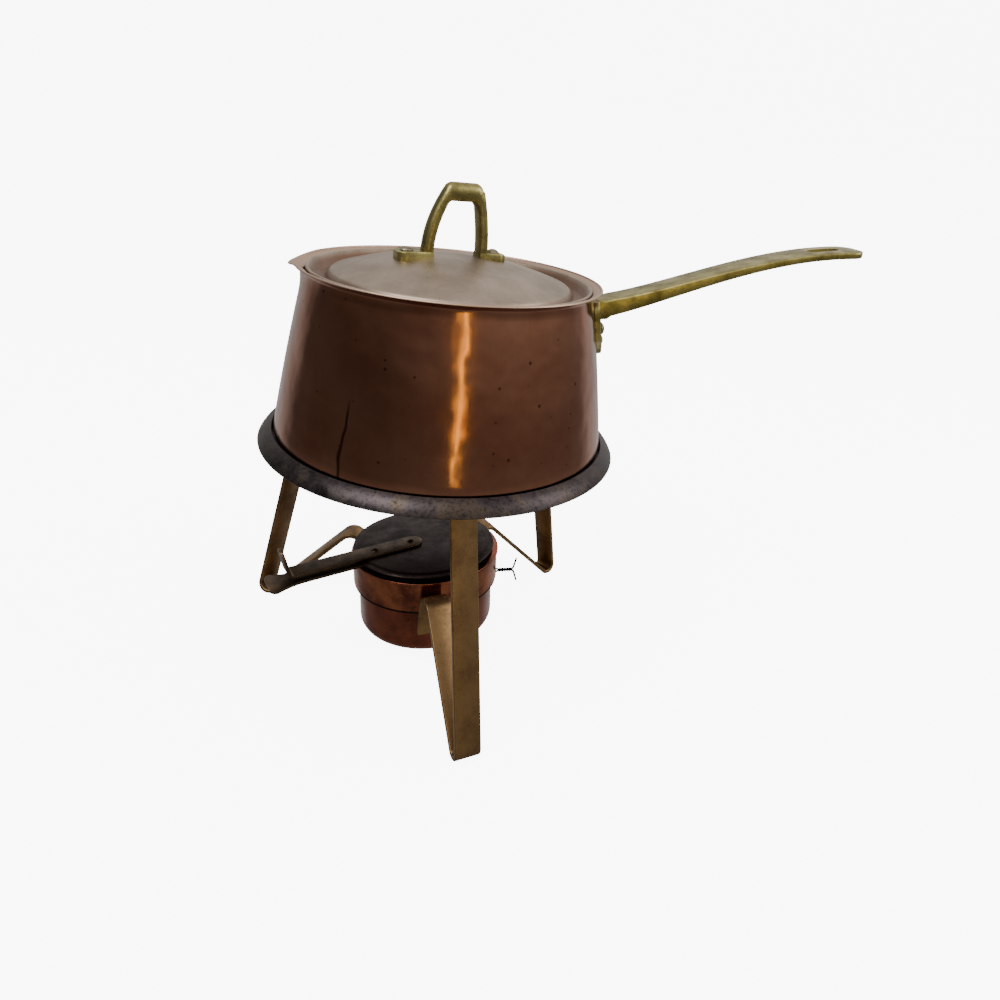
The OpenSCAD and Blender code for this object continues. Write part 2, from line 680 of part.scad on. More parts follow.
module lid_handle() color("#9c9150") {
    foot_top = dome_top - lid_rivet_drop + bail_foot_t;
    rotate([0, 0, lid_turn]) difference() {
        union() {
            rotate([90, 0, 0]) linear_extrude(bail_d, center = true) difference() {
                polygon(concat(bail_side(-1, 0, -bail_foot_sink, bail_h - 2 * edge),
                    [[bail_mid(bail_h) - bail_half(bail_h) + 2 * edge, bail_top]],
                    [for (p = arc([bail_lean + bail_top_w / 2 - bail_corner, bail_top - bail_corner],
                        bail_corner, 90, 15)) p],
                    reversed(bail_side(1, 0, -bail_foot_sink, bail_h - bail_corner))));
                polygon(concat(bail_side(-1, bail_leg_t, -2 * bail_foot_sink, bail_h - bail_t - 2 * edge),
                    [[bail_mid(bail_h - bail_t) - bail_half(bail_h - bail_t) + bail_leg_t + 3 * edge,
                        bail_top - bail_t]],
                    [[bail_mid(bail_h - bail_t) + bail_half(bail_h - bail_t) - bail_leg_t - 3 * edge,
                        bail_top - bail_t]],
                    reversed(bail_side(1, bail_leg_t, -2 * bail_foot_sink, bail_h - bail_t - 2 * edge))));
            }
            for (side = [-1, 1]) bail_foot(side, dome_top - bail_foot_sink, foot_top);
        }
        rotate_extrude() polygon(concat(dome_curve(-fixed_gap), [[0, gutter_z]]));
        rotate([0, 0, -lid_turn]) lid_rivet_places() translate([0, 0, -dome_h])
            cylinder(h = dome_h, r = rivet_r);
    }
}

module bail_foot(side, low, top) {
    inner = bail_leg_w / 2 - bail_leg_t;
    outer = bail_span / 2 - side * bail_shift;
    corner = 5;
    translate([0, 0, low]) linear_extrude(top - low) polygon(concat(
        [[side * inner, -bail_d / 2]],
        [for (p = arc([outer - corner, corner - bail_foot_d / 2], corner, -90, 0)) [side * p[0], p[1]]],
        [for (p = arc([outer - corner, bail_foot_d / 2 - corner], corner, 0, 90)) [side * p[0], p[1]]],
        [[side * inner, bail_d / 2]]));
}

// Long enough for a flush end under the lid's sheet
module lid_rivets() color("#8d8a80") {
    lid_rivet_places() rivet(rivet_r, rivet_head_r, bail_foot_t + lid_t);
}

module burner_can() color("#6a3a28") {
    corner_c = [can_r - can_corner, can_z + can_corner];
    along_lever() difference() {
        rotate_extrude() polygon(concat(
            [[0, can_z]], arc(corner_c, can_corner, -90, 0),
            [[can_r, flange_z], [flange_r, flange_z], [flange_r, brim_z], [can_r - can_t, brim_z]],
            arc(corner_c, can_corner - can_t, 0, -90), [[0, can_z + can_t]]));
        grip_rivet_holes();
    }
}

module grip_rivet_holes() {
    for (x = grip_rivets) translate([x, 0, flange_z - through])
        cylinder(h = grip_z - flange_z + grip_t + 2 * through, r = small_rivet_r);
}

// Pressed plate with a raised mouth, whose brim lies on the can's flange
module burner_top() color("#6a3a28") {
    round_r = flange_t / 2;
    along_lever() difference() {
        rotate_extrude() polygon(concat(
            [[flange_r, brim_z]], [[flange_r, grip_z - round_r]],
            arc([flange_r - round_r, grip_z - round_r], round_r, 0, 90, 4),
            [[rim_r, grip_z], [rim_r - seat_run + 3 * edge, rim_z - edge],
             [rim_r - seat_run + edge, rim_z], [mouth_r + edge, rim_z],
             [mouth_r, rim_z - edge], [mouth_r, rim_z - top_t],
             [gauze_r + edge, rim_z - top_t], [gauze_r, rim_z - top_t - edge],
             [rim_r - top_t - edge, brim_z]]));
        grip_rivet_holes();
    }
}

// Perforated disc pressed up under the mouth
module burner_gauze() color("#8a8580") {
    along_lever() translate([0, 0, rim_z - top_t - gauze_t]) difference() {
        cylinder(h = gauze_t, r = gauze_r - fixed_gap);
        for (ring = [0 : gauze_rings]) let (n = max(6 * ring, 1)) for (i = [0 : n - 1])
            rotate([0, 0, 360 * i / n]) translate([ring * gauze_pitch, 0, -through])
                cylinder(h = gauze_t + 2 * through, r = gauze_hole_r, $fn = 24);
    }
}

module burner_wadding() color("#e4ddcc") {
    inner = can_r - can_t - wadding_gap;
    corner_c = [inner - can_corner, can_z + can_t + can_corner];
    along_lever() rotate_extrude() polygon(concat(
        [[0, can_z + can_t]], arc(corner_c, can_corner, -90, 0),
        [[inner, flange_z - wadding_low], [0, flange_z - wadding_low]]));
}

// Flat strip with a fishtail end, riveted on the burner's brim
module burner_handle() color("#453528") {
    half = lever_w / 2;
    flare = (grip_end_w - lever_w) / 2;
    corner = 3.5;
    steps = 8;
    side = concat([[grip_start, half]],
        [for (i = [0 : steps]) let (s = i / steps)
            [grip_reach - grip_end_l + (grip_end_l - corner) * s, half + flare * pow(s, 2)]],
        arc([grip_reach - corner, grip_end_w / 2 - corner], corner, 70, 0, 6));
    along_lever() difference() {
        translate([0, 0, grip_z]) linear_extrude(grip_t)
            polygon(concat(side, [for (p = reversed(side)) [p[0], -p[1]]]));
        grip_rivet_holes();
    }
}

// Flush on the strip and under the flange or the brim
module burner_handle_rivets() color("#5b4526") {
    along_lever() for (x = grip_rivets) let (low = x < can_r - can_t ? brim_z : flange_z)
        translate([x, 0, low]) cylinder(h = grip_z + grip_t - low, r = small_rivet_r);
}

module snuffer_disc() color("#332e2e") {
    mid_r = disc_r - disc_brim;
    slope = 1;
    along_lever() difference() {
        translate([disc_shift, 0, disc_z]) rotate_extrude() polygon([
            [0, 0], [disc_r, 0], [disc_r, disc_t - edge], [disc_r - edge, disc_t],
            [mid_r, disc_t], [mid_r - slope, disc_t + disc_step], [0, disc_t + disc_step]]);
        arm_rivet_holes();
    }
}

module arm_rivet_holes() {
    for (x = arm_rivets) translate([x, 0, disc_z - through])
        cylinder(h = arm_z - disc_z + arm_t + 2 * through, r = small_rivet_r);
}

// Flat strip on the disc, its outer end bent up as a rounded thumb tab
module snuffer_arm() color("#453528") {
    half = lever_w / 2;
    low = arm_bend + arm_t / 2;
    high = arm_bend - arm_t / 2;
    bend_c = [arm_reach - arm_bend, arm_z + low];
    tip = [sin(thumb_angle), cos(thumb_angle)];
    side = [cos(thumb_angle), -sin(thumb_angle)];
    along_lever() difference() {
        intersection() {
            rotate([90, 0, 0]) linear_extrude(lever_w, center = true) polygon(concat(
                [[arm_start, arm_z + arm_t], [arm_start, arm_z]], arc(bend_c, low, -90, -thumb_angle),
                [bend_c + low * side + thumb_h * tip, bend_c + high * side + thumb_h * tip],
                arc(bend_c, high, -thumb_angle, -90)));
            union() {
                translate([arm_start + half, 0, arm_z - through])
                    cylinder(h = 3 * through + arm_t, r = half);
                translate([arm_start + half, -half, arm_z - through])
                    cube([arm_reach, lever_w, low + through]);
                translate([0, 0, arm_z + low]) rotate([90, 0, 90]) linear_extrude(2 * arm_reach)
                    polygon(concat([[-half, -through], [half, -through]],
                        arc([0, thumb_h * cos(thumb_angle) - half], half, 0, 180)));
            }
        }
        arm_rivet_holes();
    }
}

// Rounded heads on the arm, flush under the disc
module snuffer_rivets() color("#3b3634") {
    along_lever() for (x = arm_rivets) translate([x, 0, arm_z + arm_t])
        rivet(small_rivet_r, small_head_r, arm_t + disc_t + disc_step);
}

stand_ring();
leg_front();
leg_right();
leg_left();
ring_rivets();
burner_hoop();
hoop_rivets();
tie_wire();
pot_shell();
pot_handle();
pot_handle_rivets();
lid_dome();
lid_handle();
lid_rivets();
burner_can();
burner_top();
burner_gauze();
burner_wadding();
burner_handle();
burner_handle_rivets();
snuffer_disc();
snuffer_arm();
snuffer_rivets();
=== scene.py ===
import math

import bmesh
import bpy
from mathutils import Matrix, Vector


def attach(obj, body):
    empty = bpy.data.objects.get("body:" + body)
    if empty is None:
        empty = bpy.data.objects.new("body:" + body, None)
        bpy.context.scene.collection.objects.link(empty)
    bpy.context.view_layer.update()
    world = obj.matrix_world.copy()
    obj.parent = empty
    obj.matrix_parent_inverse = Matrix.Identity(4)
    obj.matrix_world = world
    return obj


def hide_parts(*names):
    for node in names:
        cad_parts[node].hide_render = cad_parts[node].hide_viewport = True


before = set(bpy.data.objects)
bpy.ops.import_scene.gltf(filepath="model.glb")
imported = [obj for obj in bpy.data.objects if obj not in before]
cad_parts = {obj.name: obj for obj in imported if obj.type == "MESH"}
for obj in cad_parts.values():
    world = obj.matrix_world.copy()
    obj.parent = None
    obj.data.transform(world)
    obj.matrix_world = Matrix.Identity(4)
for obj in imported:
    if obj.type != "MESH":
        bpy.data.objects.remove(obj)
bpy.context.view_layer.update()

# Camera
# Stands where the photograph was taken from: close to the pot, above the lid and turned a few degrees.
# Lengths in this file are in millimetres, as in the part's source, and MM turns them to metres.
MM = 0.001
camera = bpy.data.objects.new("camera", bpy.data.cameras.new("camera"))
link = bpy.context.scene.collection.objects.link
link(camera)
bpy.context.scene.camera = camera
camera_place = Vector((0, -389.63, 294.468))
camera_yaw, camera_pitch, camera_roll = -0.12979, 0.332807, 0.119104
level_right = Vector((math.cos(camera_yaw), math.sin(camera_yaw), 0))
level_ahead = Vector((-math.sin(camera_yaw), math.cos(camera_yaw), 0))
ahead = level_ahead * math.cos(camera_pitch) - Vector((0, 0, math.sin(camera_pitch)))
level_up = level_right.cross(ahead)
camera_right = level_right * math.cos(camera_roll) + level_up * math.sin(camera_roll)
camera_up = level_up * math.cos(camera_roll) - level_right * math.sin(camera_roll)
camera.matrix_world = Matrix.Translation(camera_place * MM) @ Matrix(
    (camera_right, camera_up, -ahead)).transposed().to_4x4()
camera.data.sensor_width, camera.data.lens = 36, 25.80
camera.data.shift_x, camera.data.shift_y = -0.0318, -0.1027
camera.data.clip_start, camera.data.clip_end = 0.01, 50

# Legs
# Three legs of flat brass strip, each bent back at the foot: one end is riveted under the ring and the
# other rises inside to a hook. The strip was cold bent by hand, so the hooks stand at different heights
# and each fold is skewed.
foot_radius, leg_width, leg_thick, leg_ease, leg_lean = 113.0, 14.0, 2.6, 0.55, 15.5
foot_bend, foot_wear, top_bend, tab_length, hook_bend, tail_low = 4.0, 0.4, 5.0, 14.0, 7.0, 30.0
ledge_high, ledge_thick = 133.5, 2.0
hoop_radius, tail_gap = 43.8, 1.5
hang_shift = Vector((-3.0, 0.0))
# Direction of each foot, turn of its strip, turn of its arm and height of its hook
leg_places = {"leg_front": (-77, 8, 8, 57), "leg_right": (40, 8, -10, 52), "leg_left": (163, -20, 12.7, 49)}


def build(name, verts, faces):
    """Closed piece from points in millimetres, doubles merged and faces turned outwards."""
    mesh = bpy.data.meshes.new(name)
    mesh.from_pydata([Vector(v) * MM for v in verts], [], faces)
    work = bmesh.new()
    work.from_mesh(mesh)
    bmesh.ops.remove_doubles(work, verts=work.verts, dist=1e-6)
    bmesh.ops.recalc_face_normals(work, faces=work.faces)
    work.to_mesh(mesh)
    work.free()
    obj = bpy.data.objects.new(name, mesh)
    link(obj)
    return obj


def loft(rings):
    """Skin over equal loops of points, with a face on each end."""
    count = len(rings[0])
    faces = [[i * count + k, i * count + (k + 1) % count, (i + 1) * count + (k + 1) % count,
              (i + 1) * count + k]
             for i in range(len(rings) - 1) for k in range(count)]
    faces += [list(range(count)), [(len(rings) - 1) * count + k for k in range(count)]]
    return [p for ring in rings for p in ring], faces


def arc(centre, radius, start, stop, steps=10):
    turns = [math.radians(start + (stop - start) * i / steps) for i in range(steps + 1)]
    return [Vector((centre[0] + radius * math.cos(a), centre[1] + radius * math.sin(a))) for a in turns]


def soft_rectangle(width, thick, corner, steps=3):
    """Loop of a rectangle with rounded corners, across and up."""
    x, y = width / 2 - corner, thick / 2 - corner
    return (arc((x, y), corner, 0, 90, steps) + arc((-x, y), corner, 90, 180, steps)
            + arc((-x, -y), corner, 180, 270, steps) + arc((x, -y), corner, 270, 360, steps))


def finish(obj, metal, sharp=40):
    """Gives a piece its metal and smooth shading, and marks the edges that rub bright in use."""
    mesh = obj.data
    mesh.materials.clear()
    mesh.materials.append(metal)
    work = bmesh.new()
    work.from_mesh(mesh)
    rubbed = []
    for v in work.verts:
        turns = [e.calc_face_angle(0.0) if e.is_convex else 0.0 for e in v.link_edges if e.is_manifold]
        rubbed.append(min(1.0, max(turns, default=0.0) / math.radians(45)))
    work.free()
    mesh.attributes.new("wear", "FLOAT", "POINT").data.foreach_set("value", rubbed)
    mesh.shade_smooth()
    mesh.set_sharp_from_angle(angle=math.radians(sharp))
    return obj


def fit(piece, body, node):
    """Puts a finished piece on its body, in place of a solid."""
    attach(piece, body)
    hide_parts(node)


def linear(colour):
    """sRGB hex to a linear colour."""
    parts = [int(colour[i:i + 2], 16) / 255 for i in (1, 3, 5)]
    return tuple(c / 12.92 if c <= 0.04045 else ((c + 0.055) / 1.055) ** 2.4 for c in parts) + (1,)


def connect(tree, node, links):
    """Links inputs to sockets; a node stands for the first of its sockets that is in use."""
    for key, source in links.items():
        if isinstance(source, bpy.types.Node):
            source = next(socket for socket in source.outputs if socket.enabled)
        tree.links.new(source, node.inputs[key])


def add(tree, kind, settings=(), links=()):
    """Adds a node, with settings by property or input and links by input."""
    node = tree.nodes.new(kind)
    for key, value in dict(settings).items():
        if isinstance(key, str) and hasattr(node, key):
            setattr(node, key, value)
        else:
            node.inputs[key].default_value = value
    connect(tree, node, dict(links))
    return node


def new_material(name, metallic):
    """Node material with its tree, its shader and the piece's own coordinates."""
    material = bpy.data.materials.new(name)
    material.use_nodes = True
    tree = material.node_tree
    shader = tree.nodes["Principled BSDF"]
    shader.inputs["Metallic"].default_value = metallic
    return material, tree, shader, add(tree, "ShaderNodeTexCoord").outputs["Object"]


def worn_metal(name, light, dark, bright, patch, grit, smooth, rough, pits, wear):
    """Metal with patches of tarnish, fine specks, pits and edges rubbed bright; patch and grit are in mm."""
    metal, tree, shader, place = new_material(name, 1)
    patches = add(tree, "ShaderNodeTexNoise", {"Scale": 1 / (patch * MM), "Detail": 6, "Roughness": 0.62},
                  {"Vector": place})
    specks = add(tree, "ShaderNodeTexNoise", {"Scale": 1 / (grit * MM), "Detail": 3, "Roughness": 0.7},
                 {"Vector": place})
    spread = add(tree, "ShaderNodeMapRange", {"From Min": 0.36, "From Max": 0.64}, {"Value": patches})
    body = add(tree, "ShaderNodeMix", {"data_type": "RGBA", 6: linear(dark), 7: linear(light)}, {0: spread})
    dots = add(tree, "ShaderNodeMapRange", {"From Min": 0.60, "From Max": 0.70, "To Max": 0.7},
               {"Value": specks})
    dotted = add(tree, "ShaderNodeMix", {"data_type": "RGBA", "blend_type": "MULTIPLY", 7: linear("#4a3c2e")},
                 {0: dots, 6: body})
    rubbed = add(tree, "ShaderNodeAttribute", {"attribute_name": "wear"})
    broken = add(tree, "ShaderNodeMath", {"operation": "MULTIPLY"}, {0: rubbed.outputs["Fac"], 1: spread})
    share = add(tree, "ShaderNodeMath", {"operation": "MULTIPLY", 1: wear}, {0: broken})
    colour = add(tree, "ShaderNodeMix", {"data_type": "RGBA", 7: linear(bright)}, {0: share, 6: dotted})
    gloss = add(tree, "ShaderNodeMapRange",
                {"From Min": 0.3, "From Max": 0.7, "To Min": rough, "To Max": smooth},
                {"Value": patches})
    bump = add(tree, "ShaderNodeBump", {"Strength": 0.5, "Distance": pits * MM}, {"Height": specks})
    connect(tree, shader, {"Base Color": colour, "Roughness": gloss, "Normal": bump})
    return metal


# Aged brass strip: olive brown tarnish in broad patches, dull, with the edges rubbed yellow.
aged_brass = worn_metal("aged brass strip", "#8a6c4b", "#745a3f", "#b59562", 14, 0.9, 0.34, 0.52, 0.05, 0.8)
foot_centre = Vector((foot_bend + leg_thick / 2, foot_bend + leg_thick / 2 - foot_wear))
tab_middle = ledge_high - ledge_thick - leg_thick / 2
lean = math.radians(leg_lean)
top_run = (math.sin(lean) * (tab_middle - top_bend - foot_centre.y) - foot_bend + top_bend) / math.cos(lean)
top_centre = Vector((foot_centre.x + top_run, tab_middle - top_bend))
foot_middle = foot_radius - foot_centre.x


def at_foot(azimuth, swing):
    """Puts a point drawn at a foot, with -X inward, in a plane turned about that foot."""
    return (Matrix.Rotation(math.radians(azimuth), 4, "Z") @ Matrix.Translation((foot_middle, 0, 0))
            @ Matrix.Rotation(math.radians(swing), 4, "Z") @ Matrix.Translation((foot_centre.x, 0, 0)))


arms = {}
for name, (azimuth, strip_swing, arm_swing, hook_high) in leg_places.items():
    out = math.radians(azimuth + arm_swing)
    outward, across = Vector((math.cos(out), math.sin(out))), Vector((-math.sin(out), math.cos(out)))
    axis_along = foot_middle * math.cos(math.radians(arm_swing)) + foot_centre.x
    axis_side = foot_middle * math.sin(math.radians(arm_swing))
    side = axis_side + hang_shift.dot(across)
    near = max(abs(side) - leg_width / 2, 0)
    tail = hang_shift.dot(outward) + math.sqrt((hoop_radius + tail_gap) ** 2 - near ** 2)
    arms[name] = (outward, across, axis_along, axis_side, tail)
    hook_centre = Vector((axis_along - tail - leg_thick / 2 - hook_bend,
                          hook_high - leg_thick / 2 - hook_bend))
    run = hook_centre - foot_centre
    slope = math.degrees(math.atan2(run.y, run.x) + math.asin((hook_bend + foot_bend) / run.length))
    line = [(p, 0.0) for p in [Vector((top_centre.x + tab_length, tab_middle))]
            + arc(top_centre, top_bend, 90, 180 - leg_lean, 8)]
    line += [(p, i / 24) for i, p in enumerate(arc(foot_centre, foot_bend, 180 - leg_lean, 270 + slope, 24))]
    line += [(p, 1.0) for p in arc(hook_centre, hook_bend, 90 + slope, 0, 14)
             + [Vector((hook_centre.x + hook_bend, tail_low))]]
    rings = []
    for i, (point, share) in enumerate(line):
        ahead_point, behind = line[min(i + 1, len(line) - 1)][0], line[max(i - 1, 0)][0]
        if 0 < i < len(line) - 1:
            along = ((ahead_point - point).normalized() + (point - behind).normalized()).normalized()
        else:
            along = (ahead_point - behind).normalized()
        normal = Vector((-along.y, along.x))
        turn = at_foot(azimuth, strip_swing + (arm_swing - strip_swing) * share * share * (3 - 2 * share))
        loop = [(v.x, point + normal * v.y) for v in soft_rectangle(leg_width, leg_thick, leg_ease)]
        rings.append([turn @ Vector((-p.x, off, max(p.y, 0))) for off, p in loop])
    leg = finish(build(name + "_strip", *loft(rings)), aged_brass, 50)
    fit(leg, "stand", name)

# Stand ring
# Copper ring with a flat ledge that the pot stands on and a sloping skirt, a little rounded, that hides
# the pot's base corner. It sits in the flame's heat, so it is stained dark, with tan and bluish patches.
ring_open, ring_radius, skirt_inside, skirt_height, skirt_swell = 57.0, 100.0, 92.6, 7.3, 0.8
hollow_from, hollow_to, hollow_rise = 94.6, 97.0, 2.3


def lathe(profile, steps=192, closed=False):
    """Turned piece: points (radius, height) carried round the upright axis, single where they lie on it."""
    verts, rows = [], []
    for radius, high in profile:
        if radius < 1e-6:
            rows.append([len(verts)] * steps)
            verts.append((0, 0, high))
        else:
            rows.append(list(range(len(verts), len(verts) + steps)))
            turns = [2 * math.pi * k / steps for k in range(steps)]
            verts += [(radius * math.cos(a), radius * math.sin(a), high) for a in turns]
    faces = []
    for low, high in zip(rows, rows[1:] + rows[:1] if closed else rows[1:]):
        for k in range(steps):
            loop = [low[k], low[(k + 1) % steps], high[(k + 1) % steps], high[k]]
            loop = [v for j, v in enumerate(loop) if v not in loop[:j]]
            if len(loop) > 2:
                faces.append(loop)
    return verts, faces


ring_low = ledge_high - ledge_thick
skirt_top = Vector((skirt_inside + 0.4, ring_low + skirt_height))
skirt_edge = Vector((ring_radius, ring_low + 0.4))
skirt_out = Vector((skirt_top.y - skirt_edge.y, skirt_edge.x - skirt_top.x)).normalized()
skirt_line = [skirt_edge.lerp(skirt_top, s) + 4 * skirt_swell * s * (1 - s) * skirt_out
              for s in [i / 16 for i in range(17)]]
ring_profile = ([(ring_open, ring_low + 0.4), (ring_open + 0.4, ring_low),
                 (hollow_from - 0.2, ring_low), (hollow_from, ring_low + 0.2),
                 (hollow_from, ring_low + hollow_rise), (hollow_from + 0.15, ring_low + hollow_rise),
                 (hollow_to, ring_low + 0.1), (hollow_to + 0.2, ring_low),
                 (ring_radius - 0.45, ring_low), (ring_radius - 0.12, ring_low + 0.12)]
                + skirt_line
                + [(skirt_inside + 0.12, skirt_top.y - 0.12), (skirt_inside, skirt_top.y - 0.4),
                   (skirt_inside, ledge_high + 0.2), (skirt_inside - 0.2, ledge_high),
                   (ring_open + 0.4, ledge_high), (ring_open, ledge_high - 0.4)])
# Heat-stained copper: a dull skin of oxide, mottled in patches of about 10 mm.
stained_copper, tree, shader, place = new_material("heat-stained copper", 1)
stains = add(tree, "ShaderNodeTexNoise",
             {"Scale": 1 / (13 * MM), "Detail": 8, "Roughness": 0.68, "Distortion": 0.6}, {"Vector": place})
stain_colours = add(tree, "ShaderNodeValToRGB", links={"Fac": stains})
stops = stain_colours.color_ramp.elements
for at, colour in ((0.30, "#2c2728"), (0.44, "#3d3637"), (0.53, "#453e3e"), (0.60, "#4f453d"),
                   (0.72, "#383233")):
    stops.new(at).color = linear(colour)
for unused in (0, -1):
    stops.remove(stops[unused])
grime = add(tree, "ShaderNodeTexNoise", {"Scale": 1 / (1.6 * MM), "Detail": 4, "Roughness": 0.7},
            {"Vector": place})
grime_share = add(tree, "ShaderNodeMapRange", {"From Min": 0.52, "From Max": 0.68, "To Max": 0.65},
                  {"Value": grime})
grimed = add(tree, "ShaderNodeMix", {"data_type": "RGBA", "blend_type": "MULTIPLY", 7: linear("#4a3d3a")},
             {0: grime_share, 6: stain_colours})
stain_gloss = add(tree, "ShaderNodeMapRange",
                  {"From Min": 0.3, "From Max": 0.7, "To Min": 0.3, "To Max": 0.5}, {"Value": stains})
stain_bump = add(tree, "ShaderNodeBump", {"Strength": 0.4, "Distance": 0.08 * MM}, {"Height": grime})
connect(tree, shader, {"Base Color": grimed, "Roughness": stain_gloss, "Normal": stain_bump})
ring = finish(build("skirted_ring", *lathe(ring_profile, 256, True)), stained_copper)
fit(ring, "stand", "stand_ring")

# Ring rivets
# One brass rivet through the ledge and each leg's tab, hammered flush on the ledge and round-headed below.
# One set of nodes puts every rivet of the object in its place.
rivet_shank, rivet_head, head_rise = 2.0, 3.6, 0.5


def rivet_shape(name, shank, head, grip):
    """Rivet with its round head on z = 0 and its shank below it."""
    rise = head * head_rise
    ball = (head * head + rise * rise) / (2 * rise)
    reach = math.asin(head / ball)
    dome = [(ball * math.sin(reach * i / 8), rise - ball * (1 - math.cos(reach * i / 8))) for i in range(9)]
    if head == shank:
        dome = [(0, 0.02), (shank - 0.2, 0.02)]
    return build(name, *lathe(dome + [(head, 0), (shank, 0), (shank, -grip), (0, -grip)], 28))


def new_nodes(name, inputs, output):
    """Empty set of geometry nodes with named inputs and one output."""
    group = bpy.data.node_groups.new(name, "GeometryNodeTree")
    for label, kind in inputs.items():
        group.interface.new_socket(label, in_out="INPUT", socket_type="NodeSocket" + kind)
    group.interface.new_socket(output, in_out="OUTPUT", socket_type="NodeSocketGeometry")
    return group, add(group, "NodeGroupInput")


def end_nodes(group, shape, metal, output):
    """Ends a set of nodes in one real mesh of one metal."""
    real = add(group, "GeometryNodeRealizeInstances", links={"Geometry": shape})
    metalled = add(group, "GeometryNodeSetMaterial", links={"Geometry": real, "Material": metal})
    add(group, "NodeGroupOutput", links={output: metalled})


def run_nodes(obj, group, inputs):
    """Runs a set of nodes on an object and gives the result as a plain mesh."""
    nodes = obj.modifiers.new("nodes", "NODES")
    nodes.node_group = group
    sockets = {item.name: item.identifier for item in group.interface.items_tree if item.in_out == "INPUT"}
    for label, value in inputs.items():
        nodes[sockets[label]] = value
    made = bpy.data.meshes.new_from_object(obj.evaluated_get(bpy.context.evaluated_depsgraph_get()))
    obj.modifiers.clear()
    return made


rivet_nodes, given = new_nodes("rivets on points",
                               {"Points": "Geometry", "Rivet": "Object", "Metal": "Material"}, "Rivets")
shape = add(rivet_nodes, "GeometryNodeObjectInfo", links={"Object": given.outputs["Rivet"]})
aim = add(rivet_nodes, "GeometryNodeInputNamedAttribute", {"data_type": "FLOAT_VECTOR", "Name": "aim"})
turn = add(rivet_nodes, "FunctionNodeAlignRotationToVector", {"axis": "Z"}, {"Vector": aim})
placed = add(rivet_nodes, "GeometryNodeInstanceOnPoints", links={
    "Points": given.outputs["Points"], "Instance": shape.outputs["Geometry"], "Rotation": turn})
end_nodes(rivet_nodes, placed, given.outputs["Metal"], "Rivets")


def set_rivets(name, places, shank, head, grip, metal):
    """Rivets at (point, direction) places, as one plain mesh."""
    sample = rivet_shape(name + "_sample", shank, head, grip)
    points = bpy.data.meshes.new(name + "_points")
    points.from_pydata([Vector(p) * MM for p, _ in places], [], [])
    aims = points.attributes.new("aim", "FLOAT_VECTOR", "POINT")
    aims.data.foreach_set("vector", [c for _, d in places for c in d])
    obj = bpy.data.objects.new(name, points)
    link(obj)
    obj.data = run_nodes(obj, rivet_nodes, {"Rivet": sample, "Metal": metal})
    bpy.data.objects.remove(sample)
    return finish(obj, metal)


tab_rivet = top_centre.x + tab_length / 2
ring_rivet_places = [(at_foot(azimuth, swing) @ Vector((-tab_rivet, 0, tab_middle - leg_thick / 2)),
                      (0, 0, -1))
                     for azimuth, swing, _, _ in leg_places.values()]
ring_rivets = set_rivets("ring_rivet_set", ring_rivet_places, rivet_shank, rivet_head,
                         ledge_thick + leg_thick, aged_brass)
fit(ring_rivets, "stand", "ring_rivets")

# Burner hoop
# Band of polished copper sheet, riveted to the three tails a little out of level and out of centre.
# The burner drops into it and hangs by its flange.
hoop_thick, hoop_low, hoop_height, hoop_ease = 1.4, 38.0, 16.5, 0.35
hoop_high, hang_middle = hoop_low + hoop_height, hoop_low + hoop_height / 2
hang_tilt, hang_way = math.radians(5), math.radians(146)
hang = (Matrix.Translation((hang_shift.x, hang_shift.y, hang_middle)) @ Matrix.Rotation(hang_way, 4, "Z")
        @ Matrix.Rotation(hang_tilt, 4, "Y") @ Matrix.Rotation(-hang_way, 4, "Z")
        @ Matrix.Translation((0, 0, -hang_middle)))


def hung(verts):
    return [hang @ Vector(v) for v in verts]


# Polished red copper: bright and reddish, with brown handling stains and fine scratches.
red_copper = worn_metal("polished red copper", "#98543e", "#6c3d30", "#d88c5e",
                        16, 1.2, 0.15, 0.32, 0.02, 0.5)
inner_hoop = hoop_radius - hoop_thick
hoop_profile = [(inner_hoop, hoop_low + hoop_ease), (inner_hoop + hoop_ease, hoop_low),
                (hoop_radius - hoop_ease, hoop_low), (hoop_radius, hoop_low + hoop_ease),
                (hoop_radius, hoop_high - hoop_ease), (hoop_radius - hoop_ease, hoop_high),
                (inner_hoop + hoop_ease, hoop_high), (inner_hoop, hoop_high - hoop_ease)]
verts, faces = lathe(hoop_profile, 160, True)
hoop = finish(build("hanging_hoop", hung(verts), faces), red_copper)
fit(hoop, "stand", "burner_hoop")

# Hoop rivets
# Small brass rivets, each through the hoop and the tail of one leg, with the round head outside.
small_shank, small_head, hoop_rivet_rise = 1.4, 2.6, 2.5
hoop_rivet_places, hoop_rivet_grip = [], []
droop = Vector((math.cos(hang_way), math.sin(hang_way)))
for name, (azimuth, _, arm_swing, _) in leg_places.items():
    outward, across, axis_along, axis_side, tail = arms[name]
    off = axis_side + hang_shift.dot(across)
    inside = hang_shift.dot(outward) + math.sqrt((hoop_radius - hoop_thick / 2) ** 2 - off ** 2)
    fall = (tail * outward - axis_side * across - hang_shift).dot(droop)
    rise = (hoop_rivet_rise - hoop_height / 2) / math.cos(hang_tilt)
    high = hang_middle + rise - math.tan(hang_tilt) * fall
    spot = at_foot(azimuth, arm_swing) @ Vector((-axis_along + tail + leg_thick, 0, high))
    hoop_rivet_places.append((spot, (outward.x, outward.y, 0)))
    hoop_rivet_grip.append(tail + leg_thick - inside)
hoop_rivets = set_rivets("hoop_rivet_set", hoop_rivet_places, small_shank, small_head, min(hoop_rivet_grip),
                         aged_brass)
fit(hoop_rivets, "stand", "hoop_rivets")

